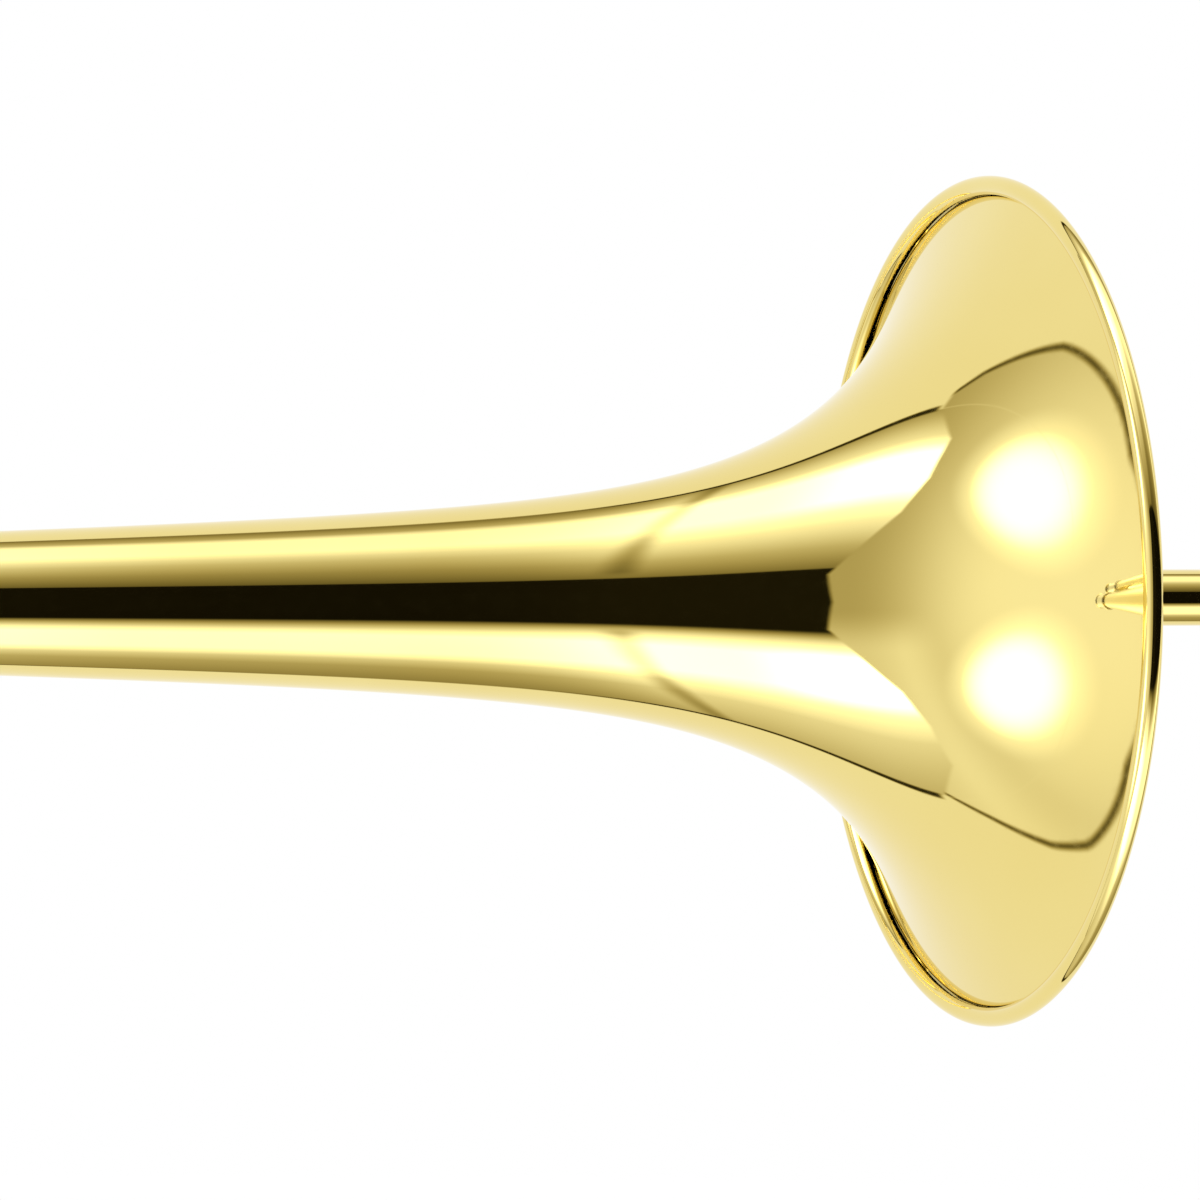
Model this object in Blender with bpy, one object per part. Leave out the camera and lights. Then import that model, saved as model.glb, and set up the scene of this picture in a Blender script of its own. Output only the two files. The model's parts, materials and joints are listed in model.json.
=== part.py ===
"""Tenor trombone with an F attachment, as separate solids. Units are metres.

The bell's mouth faces +X. The neck and the lower slide tube lie on the X axis, and the origin is the front
face of the slide receiver. The hand slide lies flat, in the plane of the bell section (Z = 0).
"""

import math

import bmesh
import bpy
from mathutils import Matrix, Vector

# Fits and tubing
GAP = 0.0003  # clearance between pieces that touch or telescope
TURN_GAP = 0.0005  # clearance round a piece that turns
TUBE_WALL = 0.0005
SLEEVE_WALL = 0.0007
NECK_BORE = 0.00695  # radius of the bore from the slide to the main bow
FERRULE_RISE = 0.0012  # how far a ferrule stands above its sleeve
FERRULE_LENGTH = 0.004
LEG_ROOM = 0.003  # between the end of a fixed tube and the slide leg behind it
EDGE_RUN = 0.001  # a turned piece's eased edge, along its axis
EDGE_FALL = 0.0008  # and towards its axis
CUT_REACH = 0.01  # how far a cutter runs to each side of the thing that it passes through
CUT_MARGIN = 0.002  # how far a cutter goes past a face

# Bell, measured along its axis from the edge where the sheet meets the rim bead
BELL_OFFSET = 0.130  # distance between the bell's axis and the neck's
BELL_MOUTH = 0.2715  # X of the sheet's front edge
BELL_LENGTH = 0.565
BELL_WALL = 0.0008
RIM_RADIUS = 0.10795
BEAD_RADIUS = 0.0024
BELL_TAIL_RADIUS = 0.0105
STEM_RISE = 0.0196  # what the stem's slow taper adds to the tail radius at the mouth
STEM_POWER = 1.74
FLARE_DEPTH = 0.0342  # distance over which the flare falls by a factor of e
CURL_END = math.radians(-95)  # where the rolled sheet stops, short of the flare's back

# Slide receiver and the joint to the hand slide
RECEIVER_LENGTH = 0.038
RECEIVER_RADIUS = 0.0104
THREAD_RADIUS = 0.0112
THREAD_LENGTH = 0.014
TENON_LENGTH = 0.030
TENON_RADIUS = 0.0091
TENON_TAPER = 0.0003
SOCKET_ROOM = 0.0015  # between the tenon's end and the floor of its socket
FACE_GAP = 0.0004  # between the receiver's front face and the tenon's collar
COLLAR_LENGTH = 0.0034
NUT_RADIUS = 0.0140
NUT_LENGTH = 0.0225
NUT_FRONT = 0.009

# Rotary valve; its axis is parallel to Z
VALVE_X = -0.115
VALVE_Y = -0.038
ROTOR_RADIUS = 0.017
ROTOR_HALF = 0.0124
CASING_WALL = 0.0037
PORT_REACH = 0.003  # how far the port sockets stand out of the casing
PORT_WALL = 0.0007
SPINDLE_RADIUS = 0.003
SPINDLE_FOOT = 0.0015  # how far the spindle stands out below the casing, inside the cap
SPINDLE_RISE = 0.0006  # how far it stands out of the stop arm
PLATE_THICKNESS = 0.003
CAP_HEIGHT = 0.006
CAP_WALL = 0.0012
PASSAGE_RADIUS = 0.0063

# Linkage: the lever's throw turns the rotor a quarter turn
ARM_RADIUS = 0.008  # from the rotor's axis to the stop arm's pin
ARM_THICKNESS = 0.003
ARM_EYE_RADIUS = 0.0026
ARM_HUB_WALL = 0.0022
ARM_PIN_RISE = 0.003  # how far the stop arm's pin stands above the link's middle
LEVER_X = -0.044
LEVER_Z = -0.008
LEVER_ARM = 0.034  # from the lever's pin to the link
LEVER_DROP = 0.048  # from the lever's pin to the end of the paddle
LEVER_WIDTH = 0.006
LEVER_THICKNESS = 0.0026
LEVER_BOSS_RADIUS = 0.0042
LEVER_PIN_RADIUS = 0.0016
LEVER_PIN_END = 0.001  # how far the pin's plain end stands out of the saddle
LEVER_PIN_HEAD = 0.0015  # how long its head is
HEAD_RISE = 0.0013  # how far the head stands above the pin
PADDLE_WIDTH = 0.022
PADDLE_REACH = 0.026
SADDLE_HALF = 0.0075  # half the space between the saddle's cheeks
SADDLE_WEB = 0.0022  # what the cheeks' web leaves round the brace
SADDLE_BRACE_END = 0.0058  # radius of the saddle's end round the brace
SADDLE_PIN_END = 0.0045  # and of its end round the lever's pin
CHEEK = 0.002
FORK_CHEEK = 0.0018
FORK_HALF = 0.0028  # half the fork's size along the lever's swing
FORK_TOP = 0.0026  # from the link's pin up to the fork's end
FORK_SLOT = 0.0062  # from the link's pin down to the floor of the slot
FORK_DEPTH = 0.011  # from the link's pin down to the fork's foot
LINK_ROD = 0.0011
LINK_PIN = 0.0012
LINK_PIN_END = 0.0008  # how far the lever's link pin stands out of the fork
LINK_HALF = 0.0012  # half the thickness of the link's eyes
LINK_EYE = 0.0018  # width of the ring round each of the link's holes
LINK_PLAY = 0.0011  # play round the lever's link pin, which swings off the link's straight path
STOP_RADIUS = 0.012
STOP_CORK_RADIUS = 0.0022
LUG_TIP_RADIUS = 0.0019
LUG_ROOT_RADIUS = 0.0045
SPRING_WIRE = 0.00035
SPRING_RADIUS = 0.0030
SPRING_TURNS = 2
SPRING_START = math.radians(35)
SPRING_LEG = 0.008

# Braces
BRACE_RADIUS = 0.0034
BRACE_FLANGE = 0.0062
BRACE_FOOT = 0.0016  # how thick the flange is beyond the tube
BRACE_NECK = 0.006  # length over which the flange narrows to the stay
FRONT_BRACE_X = -0.024
REAR_BRACE_SETBACK = 0.0315  # in front of the bell's tail

# Main tuning slide
BELL_SLEEVE_LAP = 0.012  # how far the bell's sleeve reaches over its tail
SLEEVE_LAP = 0.0035  # how far the neck's sleeve starts in front of the bell's tail
SLEEVE_LENGTH = 0.075
LEG_SETBACK = 0.0145  # from the bell's tail back to the legs
BOW_SETBACK = 0.0915  # from the bell's tail back to the bow
BOW_FERRULE = 0.015
BOW_FERRULE_WALL = 0.0011
BOW_LAP = 0.010  # how far a bow's ferrule reaches over its leg
STEP_RUN = 0.0006  # length of the step from a ferrule to its bow
MAIN_BRACE_FLANGE = 0.005

# F loop
F_HEIGHT = 0.022  # the loop lies above the main bow
F_OUTER_Y = -0.096
F_RUN = 0.050  # length over which the loop's tubes climb
F_RETURN_LEAD = 0.002  # straight run between the valve's rear port and the climb
F_OUTER_LEAD = 0.003  # straight run between the outer tube's elbow and the climb
F_POST_RADIUS = 0.00289
F_SLEEVE_FRONT = -0.373
F_SLEEVE_LENGTH = 0.085
F_LEG_START = -0.391
F_BOW_X = -0.500
F_BRACE_X = -0.440

# Hand slide
SLIDE_SPAN = 0.087  # between the axes of its two sides
INNER_RADIUS = 0.0070
INNER_BORE = 0.0065
STOCKING_RISE = 0.00015
STOCKING_LENGTH = 0.110
STOCKING_RAMP = 0.002
OUTER_BORE = 0.00745
OUTER_WALL = 0.00045
INNER_START = 0.008
INNER_END = 0.650
OUTER_START = 0.025
OUTER_END = 0.656
SLIDE_BOW_X = 0.668
SLIDE_BOW_LAP = 0.016
BARREL_START = 0.012
BARREL_LENGTH = 0.036
BARREL_RADIUS = 0.0117
BARREL_WALL = 0.0011
BARREL_FLOOR = 0.006
BARREL_NOSE_RUN = 0.002  # the barrel's narrower rear end, along its axis
BARREL_NOSE_FALL = 0.0012  # and towards its axis
CORK_LENGTH = 0.006
TOP_SLEEVE_LENGTH = 0.041
TOP_SLEEVE_RADIUS = 0.0096
TOP_BEAD_LENGTH = 0.006
TOP_BEAD_RISE = 0.0008
TOP_LIP = 0.0005  # wall of the top sleeve where it ends on its tube
GRIP_BRACE_X = 0.030
GRIP_BRACE_RADIUS = 0.0048
GRIP_BRACE_FLANGE = 0.0075
OUTER_BRACE_X = 0.082
OUTER_BRACE_FLANGE = 0.0070
LOCK_RING_RADIUS = 0.0134
LOCK_RING_WALL = 0.0012
LOCK_RING_START = 0.037
LOCK_RING_LENGTH = 0.023
LOCK_BAND_LENGTH = 0.006
LOCK_BAND_RISE = 0.0012
LOCK_TRAVEL = math.radians(35)
STUD_X = 0.054
STUD_RADIUS = 0.0014
STUD_FOOT = 0.0004  # how far above its bore the stud starts in the sleeve's wall
BUMPER_RADIUS = 0.0062
BUMPER_LENGTH = 0.012
BUMPER_HOLDER_LENGTH = 0.0045
BUMPER_HOLDER_FOOT = 0.004  # how far the holder comes down round the bow
KNOB_END = ((0.0025, 0), (0.0008, 0.0010), (0, 0.0024))  # its round end: back from the tip, in from the side

# Water key, on the bow, at these angles from the lower side's end of the curve
NIPPLE_ANGLE = math.radians(64)
KEY_PIVOT_ANGLE = math.radians(46)
NIPPLE_RADIUS = 0.0032
NIPPLE_HEIGHT = 0.0034
NIPPLE_BORE = 0.0018
NIPPLE_FOOT = 0.004  # how far the nipple comes down round the bow
DRAIN_RADIUS = 0.0016
DRAIN_START = 0.003  # height over the bow's centreline where the drain hole's drill stops
KEY_PIN_RADIUS = 0.0011
KEY_PIN_END = 0.0006  # how far the pin stands out of the saddle
KEY_PIVOT_RISE = 0.0016  # from the nipple's top to the key's pin
KEY_SADDLE_INSIDE = 0.0024  # half the space between the saddle's cheeks
KEY_SADDLE_CHEEK = 0.0012
KEY_SADDLE_HALF = 0.0028  # half the saddle's length along the key
KEY_SADDLE_FOOT = 0.004  # height over the bow's centreline where its cheeks start
KEY_SADDLE_FLOOR = 0.0008  # thickness of its floor over the bow
KEY_SADDLE_TOP = 0.0024  # how far its cheeks rise above the pin
KEY_LIFT = 0.0004  # from the pin's axis up to the underside of the key's arm
KEY_THICKNESS = 0.0013
KEY_TAIL = 0.0172  # from the pin back to the end of the arm
KEY_NOSE = 0.0013  # how far short of the nipple's axis the arm ends, under its cup
KEY_ARM_SHARE = 0.8  # the arm's width as a share of its barrel's
KEY_BARREL_RADIUS = 0.0021
KEY_CUP_LIP = 0.0010  # how far the cup is wider than the nipple
KEY_CUP_DROP = 0.0006  # how far it hangs below the arm
KEY_CUP_HEIGHT = 0.0016
KEY_PADDLE_X = 0.0190  # from the pin back to the middle of the finger plate
KEY_PADDLE_RADIUS = 0.0044
KEY_PADDLE_DROP = 0.0002

# Leadpipe, receiver and mouthpiece
LEADPIPE_LENGTH = 0.230
LEADPIPE_WALL = 0.0006
CUP_RECEIVER_LENGTH = 0.035
CUP_RECEIVER_RADIUS = 0.0089
RECEIVER_RING_LENGTH = 0.0035
RECEIVER_NOSE = 0.003  # its widening ends this far behind the cork barrel
SHANK_ROOM = 0.002  # between the shank's tip and the end of its socket
LEADPIPE_ROOM = 0.001  # between that end and the leadpipe
MOUTHPIECE_LENGTH = 0.082
SHANK_DEPTH = 0.025  # how far the shank goes into its receiver
SHANK_TIP_RADIUS = 0.00635
SHANK_TAPER = 0.025  # rise of the shank's radius over its length, as a ratio
CUP_OUTER_RADIUS = 0.01975
CUP_INNER_RADIUS = 0.0129
CUP_DEPTH = 0.024
THROAT_RADIUS = 0.0034
THROAT_LENGTH = 0.008
BACKBORE_RADIUS = 0.0052  # at the shank's tip
WAIST_SETBACK = 0.010  # from the cup's bottom to the waist
BITE_EASE = 0.0008  # how deep the rim's inner edge is eased
BITE_WIDTH = 0.002
# The rim and the cup outside: distance behind the rim, and how far in from the widest place
CUP_PROFILE = (
    (0, 0.0022), (0.0010, 0.0006), (0.0026, 0), (0.0046, 0.0006),
    (0.0070, 0.0030), (0.0150, 0.0050), (0.0230, 0.0085),
)
# The ring at the waist: distance from the waist, and radius
WAIST_PROFILE = ((-0.0030, 0.0072), (0, 0.0066), (0.0020, 0.0084), (0.0045, 0.0084), (0.0060, 0.0068))
WAIST_END = 0.0080  # from the waist to where the shank's taper starts
# The cup inside, from its bottom to its mouth: shares of its depth and of its mouth's radius
CUP_BOWL = ((0.82, 0.55), (0.5, 0.86), (0.2, 0.97))

# Facets round pieces of each size, and steps along their curves
BELL_SIDES = 36
VALVE_SIDES = 24
RING_SIDES = 12
TUBE_SIDES = 12
SMALL_SIDES = 10
WIRE_SIDES = 6
SPRING_STEPS = 9
BELL_STEPS = 12
CURL_STEPS = 5
ELBOW_STEPS = 4
CLIMB_STEPS = 3
MAIN_BOW_STEPS = 9
F_BOW_STEPS = 8
SLIDE_BOW_STEPS = 10
END_STEPS = 6

# Values worked out from the sizes above
BELL_TAIL = BELL_MOUTH - BELL_LENGTH
REAR_BRACE_X = BELL_TAIL + REAR_BRACE_SETBACK
SLEEVE_FRONT = BELL_TAIL + SLEEVE_LAP
LEG_START = BELL_TAIL - LEG_SETBACK
BOW_X = BELL_TAIL - BOW_SETBACK
TUBE_RADIUS = NECK_BORE + TUBE_WALL
SLEEVE_BORE = TUBE_RADIUS + GAP
CASING_RADIUS = ROTOR_RADIUS + GAP + CASING_WALL
PORT_END = CASING_RADIUS + PORT_REACH
PORT_SEAT = ROTOR_RADIUS + GAP + 0.3 * CASING_WALL
CASING_HALF = ROTOR_HALF + 2 * GAP
OUTER_RADIUS = OUTER_BORE + OUTER_WALL
SLIDE_BOW_RADIUS = SLIDE_SPAN / 2
STOP_SWING = math.radians(45)  # half the rotor's turn
LEVER_TILT = math.asin(ARM_RADIUS * math.sin(STOP_SWING) / LEVER_ARM)
PIN_X = VALVE_X + ARM_RADIUS * math.sin(STOP_SWING)
PIN_Y = VALVE_Y + ARM_RADIUS * math.cos(STOP_SWING)
LEVER_Y = VALVE_Y + ARM_RADIUS * (1 + math.cos(STOP_SWING)) / 2
LINK_DRIFT = ARM_RADIUS * (1 - math.cos(STOP_SWING)) / 2
LINK_Z = LEVER_Z + LEVER_ARM * (1 + math.cos(LEVER_TILT)) / 2
PLATE_TOP = CASING_HALF + GAP + PLATE_THICKNESS
ARM_Z = PLATE_TOP + 2 * GAP

X_AXIS, Y_AXIS, Z_AXIS = Vector((1, 0, 0)), Vector((0, 1, 0)), Vector((0, 0, 1))


def clear_scene():
    for old in list(bpy.data.objects):
        bpy.data.objects.remove(old)


def make_material(name, colour, roughness, metallic):
    made = bpy.data.materials.new(name)
    made.use_nodes = True
    shader = made.node_tree.nodes["Principled BSDF"]
    shader.inputs["Base Color"].default_value = (*colour, 1)
    shader.inputs["Roughness"].default_value = roughness
    shader.inputs["Metallic"].default_value = metallic
    return made


def make_carrier(name, point, tilt=0.0):
    """The empty that a moving body hangs on, at its joint. Tilt turns it about Y."""
    empty = bpy.data.objects.new(name, None)
    bpy.context.scene.collection.objects.link(empty)
    empty.matrix_basis = Matrix.Translation(point) @ Matrix.Rotation(tilt, 4, "Y")
    return empty


def add_solid(name, shape, finish, carrier=None, local=False):
    """Turns a bmesh into an object. Its points are in the row frame, or in the carrier's own with local."""
    bmesh.ops.recalc_face_normals(shape, faces=shape.faces)
    mesh = bpy.data.meshes.new(name)
    shape.to_mesh(mesh)
    shape.free()
    mesh.shade_smooth()
    mesh.set_sharp_from_angle(angle=math.radians(35))
    solid = bpy.data.objects.new(name, mesh)
    bpy.context.scene.collection.objects.link(solid)
    if finish:
        mesh.materials.append(finish)
    if carrier:
        solid.parent = carrier
        if not local:
            solid.matrix_parent_inverse = carrier.matrix_basis.inverted()
    return solid


def combine(solid, tool, operation):
    """Boolean of solid with tool, which stays hidden as a guide. A second one finds only triangles."""
    if solid.modifiers:
        solid.modifiers.new(f"faces_before_{tool.name}", "TRIANGULATE")
    change = solid.modifiers.new(tool.name, "BOOLEAN")
    change.operation = operation
    change.solver = "EXACT"
    change.object = tool
    tool.hide_render = True
    tool.display_type = "WIRE"


def cut(solid, *tools):
    for tool in tools:
        combine(solid, tool, "DIFFERENCE")


def join(solid, *tools):
    for tool in tools:
        combine(solid, tool, "UNION")


def turn(name, outline, finish=None, carrier=None, base=(0, 0, 0), axis="X", sides=TUBE_SIDES, local=False):
    """A solid turned about an axis through base. The outline is a closed ring of (along, radius) points."""
    along = {"X": X_AXIS, "Y": Y_AXIS, "Z": Z_AXIS}[axis]
    out = {"X": Z_AXIS, "Y": Z_AXIS, "Z": X_AXIS}[axis]
    if axis == "Z":
        out = Matrix.Rotation(math.pi / sides, 3, along) @ out
    base = Vector(base)
    shape = bmesh.new()
    points = [shape.verts.new(base + along * a + out * r) for a, r in outline]
    edges = []
    for k, point in enumerate(points):
        on_axis = outline[k][1] == 0 and outline[(k + 1) % len(points)][1] == 0
        if not on_axis:
            edges.append(shape.edges.new((point, points[(k + 1) % len(points)])))
    bmesh.ops.spin(
        shape, geom=points + edges, cent=base, axis=along, angle=math.tau, steps=sides, use_merge=True
    )
    bmesh.ops.remove_doubles(shape, verts=shape.verts, dist=2e-6)
    return add_solid(name, shape, finish, carrier, local)


def tube_outline(start, end, radius, bore):
    return [(start, bore), (start, radius), (end, radius), (end, bore)]


def rod_outline(start, end, radius):
    return [(start, 0), (start, radius), (end, radius), (end, 0)]


def loft(name, loops, finish=None, carrier=None, local=False, ring=False):
    """A solid through closed loops of as many points each. With ring the last loop joins the first."""
    shape = bmesh.new()
    rows = [[shape.verts.new(p) for p in loop] for loop in loops]
    pairs = list(zip(rows, rows[1:]))
    if ring:
        pairs.append((rows[-1], rows[0]))
    for low, high in pairs:
        for k in range(len(low)):
            j = (k + 1) % len(low)
            shape.faces.new((low[k], low[j], high[j], high[k]))
    if not ring:
        shape.faces.new(rows[0][::-1])
        shape.faces.new(rows[-1])
    return add_solid(name, shape, finish, carrier, local)


class Route:
    """A centreline, drawn as a tube bender would: straight runs and arcs from a start point."""

    def __init__(self, start, heading):
        self.points = [Vector(start)]
        self.heading = Vector(heading)

    def straight(self, length):
        self.points.append(self.points[-1] + self.heading * length)
        return self

    def bend(self, radius, angle, towards, steps):
        start, ahead, side = self.points[-1].copy(), self.heading.copy(), Vector(towards)
        for k in range(1, steps + 1):
            a = angle * k / steps
            self.points.append(start + ahead * radius * math.sin(a) + side * radius * (1 - math.cos(a)))
        self.heading = ahead * math.cos(angle) + side * math.sin(angle)
        return self

    def offset(self, run, shift, towards, steps):
        """Two equal and opposite arcs that move the line aside by shift over a length of run."""
        radius = (run * run + shift * shift) / (4 * shift)
        angle = math.asin(run / 2 / radius) if run > shift else math.pi - math.asin(run / 2 / radius)
        side, ahead = Vector(towards), self.heading.copy()
        self.bend(radius, angle, side, steps)
        back = side * math.cos(angle) - ahead * math.sin(angle)
        self.bend(radius, angle, -back, steps)
        self.heading = ahead
        return self


def rings_along(points, radii, sides, up=Z_AXIS):
    """Circles square to a line that lies in, or close to, a plane; the line's frame is carried along it."""
    rings = []
    normal = Vector(up)
    for k, point in enumerate(points):
        ahead = (points[min(k + 1, len(points) - 1)] - points[max(k - 1, 0)]).normalized()
        normal = (normal - ahead * normal.dot(ahead)).normalized()
        side = ahead.cross(normal)
        angles = [math.tau * j / sides for j in range(sides)]
        rings.append([point + radii[k] * (normal * math.cos(a) + side * math.sin(a)) for a in angles])
    return rings


def pipe(name, points, radii, bores, finish=None, carrier=None, sides=TUBE_SIDES):
    """A tube along a line. Radii and bores are single sizes or one for each point; no bores make it solid."""
    radii = radii if isinstance(radii, list) else [radii] * len(points)
    rings = rings_along(points, radii, sides)
    if bores is None:
        return loft(name, rings, finish, carrier)
    bores = bores if isinstance(bores, list) else [bores] * len(points)
    inside = rings_along(points, bores, sides)
    return loft(name, rings + inside[::-1], finish, carrier, ring=True)


def box(name, low, high, finish=None, carrier=None, local=False):
    (x0, y0, z0), (x1, y1, z1) = low, high
    loops = [[(x, y0, z0), (x, y1, z0), (x, y1, z1), (x, y0, z1)] for x in (x0, x1)]
    return loft(name, [[Vector(p) for p in loop] for loop in loops], finish, carrier, local)


def plate_between(name, centres, radii, low, high, finish=None, carrier=None, local=False, flat="Y"):
    """A flat link shape: two round ends of these radii, joined by straight flanks. It is square to Y or Z."""
    (ax, az), (bx, bz) = centres
    lean = math.atan2(bz - az, bx - ax)
    spread = math.acos((radii[0] - radii[1]) / math.hypot(bx - ax, bz - az))
    outline = []
    for (cx, cz), radius, first, last in (
        (centres[0], radii[0], lean + spread, lean + math.tau - spread),
        (centres[1], radii[1], lean - spread, lean + spread),
    ):
        for k in range(END_STEPS + 1):
            a = first + (last - first) * k / END_STEPS
            outline.append((cx + radius * math.cos(a), cz + radius * math.sin(a)))
    if flat == "Y":
        loops = [[Vector((x, y, z)) for x, z in outline] for y in (low, high)]
    else:
        loops = [[Vector((x, y, z)) for x, y in outline] for z in (low, high)]
    return loft(name, loops, finish, carrier, local)


def strap(name, stations, thickness, finish=None, carrier=None, local=False):
    """A flat bar with cut corners whose broad faces look along X, through stations of (x, y, z, width)."""
    loops = []
    for k, (x, y, z, width) in enumerate(stations):
        before, after = stations[max(k - 1, 0)], stations[min(k + 1, len(stations) - 1)]
        ahead = Vector((0, after[1] - before[1], after[2] - before[2])).normalized()
        across = ahead.cross(X_AXIS)
        half, thick = width / 2, thickness / 2
        edge = min(thick * 0.8, half * 0.4)
        corners = [(-half, -thick + edge), (-half + edge, -thick)]
        corners += [(half - edge, -thick), (half, -thick + edge)]
        corners += [(-a, -b) for a, b in corners]
        loops.append([Vector((x, y, z)) + across * a + X_AXIS * b for a, b in corners])
    return loft(name, loops, finish, carrier, local)


def brace(name, x, z, ends, finish, carrier=None, radius=BRACE_RADIUS, flange=BRACE_FLANGE, on_bell=False):
    """A round stay along Y with a flange at each end, seated on two tubes or on the bell and a tube.

    Ends are (y, tube radius), low y first. With on_bell the low end is the bell's stem, which widens
    forwards. Each flange starts inside its tube's outline, and the tube's outline is then cut out of it.
    """
    (y0, r0), (y1, r1) = ends
    seat0 = y0 + math.sqrt(r0 * r0 - flange * flange) * 0.9 if r0 > flange else y0
    seat1 = y1 - math.sqrt(r1 * r1 - flange * flange) * 0.9 if r1 > flange else y1
    low, high = y0 + r0 + BRACE_FOOT, y1 - r1 - BRACE_FOOT
    edge, collar, half_neck = 0.92 * flange, 1.15 * radius, BRACE_NECK / 2
    outline = [(seat0, 0), (seat0, flange), (low, edge), (low + half_neck, collar)]
    outline += [(low + BRACE_NECK, radius), (high - BRACE_NECK, radius), (high - half_neck, collar)]
    outline += [(high, edge), (seat1, flange), (seat1, 0)]
    stay = turn(name, outline, finish, carrier, base=(x, 0, z), axis="Y", sides=SMALL_SIDES)
    reach = 2 * flange
    for end, (y, r) in (("low", ends[0]), ("high", ends[1])):
        outline, sides = rod_outline(x - reach, x + reach, r + GAP), TUBE_SIDES
        if on_bell and end == "low":
            spots = [x + reach * k / 3 for k in range(-3, 4)]
            stem = [(a, bell_radius(BELL_MOUTH - a) + GAP) for a in spots]
            outline, sides = [(spots[0], 0), *stem, (spots[-1], 0)], BELL_SIDES
        cut(stay, turn(f"{name}_{end}_seat", outline, base=(0, y, z), sides=sides))
    return stay


def bell_radius(s):
    """Outer radius of the bell, s behind the edge of its sheet: a slow taper and an exponential flare."""
    slope = math.atan((RIM_RADIUS - BELL_TAIL_RADIUS - STEM_RISE) / FLARE_DEPTH)
    edge = RIM_RADIUS - BEAD_RADIUS - (BEAD_RADIUS - BELL_WALL) * math.cos(slope)
    stem = STEM_RISE * max(0.0, 1 - s / BELL_LENGTH) ** STEM_POWER
    return BELL_TAIL_RADIUS + stem + (edge - BELL_TAIL_RADIUS - STEM_RISE) * math.exp(-s / FLARE_DEPTH)


def bell_slope(s):
    """Angle between the bell's sheet and its axis."""
    step = 1e-5
    return math.atan((bell_radius(s) - bell_radius(s + step)) / step)


def bell_point(s, depth):
    """(x, radius) of the bell's sheet at s, depth under its outer face."""
    a = bell_slope(s)
    return BELL_MOUTH - s + depth * math.sin(a), bell_radius(s) - depth * math.cos(a)


def bead_centre():
    a = bell_slope(0)
    reach = BEAD_RADIUS - BELL_WALL
    return BELL_MOUTH - reach * math.sin(a), bell_radius(0) + reach * math.cos(a)


def make_bell(brass):
    depths = [BELL_LENGTH * (k / BELL_STEPS) ** 2 for k in range(BELL_STEPS + 1)]
    outer = [bell_point(s, 0) for s in depths]
    inner = [bell_point(s, BELL_WALL) for s in depths[1:]]
    cx, cr = bead_centre()
    first = math.radians(270) - bell_slope(0)
    curl = []
    there, back = range(CURL_STEPS + 1), range(CURL_STEPS, 0, -1)
    for radius, steps in ((BEAD_RADIUS, there), (BEAD_RADIUS - BELL_WALL, back)):
        for k in steps:
            a = first + (CURL_END - first) * k / CURL_STEPS
            curl.append((cx - radius * math.cos(a), cr + radius * math.sin(a)))
    outline = inner[::-1] + curl + outer
    axis = (0, -BELL_OFFSET, 0)
    turn("bell", outline, brass, base=axis, sides=BELL_SIDES)
    wire = BEAD_RADIUS - BELL_WALL - GAP
    angles = [math.tau * k / WIRE_SIDES for k in range(WIRE_SIDES)]
    return [(cx + wire * math.cos(a), cr + wire * math.sin(a)) for a in angles], axis


def sleeve_outline(front, length, bore):
    """A slide sleeve running back from front, with a ferrule at its front and a bead at its mouth."""
    radius, back = bore + SLEEVE_WALL, front - length
    ferrule, bead = radius + FERRULE_RISE, radius + 0.6 * FERRULE_RISE
    outline = [(front, bore), (front, ferrule), (front - FERRULE_LENGTH, ferrule)]
    outline += [(front - 1.5 * FERRULE_LENGTH, radius), (back + FERRULE_LENGTH, radius)]
    return outline + [(back + 0.8 * FERRULE_LENGTH, bead), (back, bead), (back, bore)]


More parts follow.
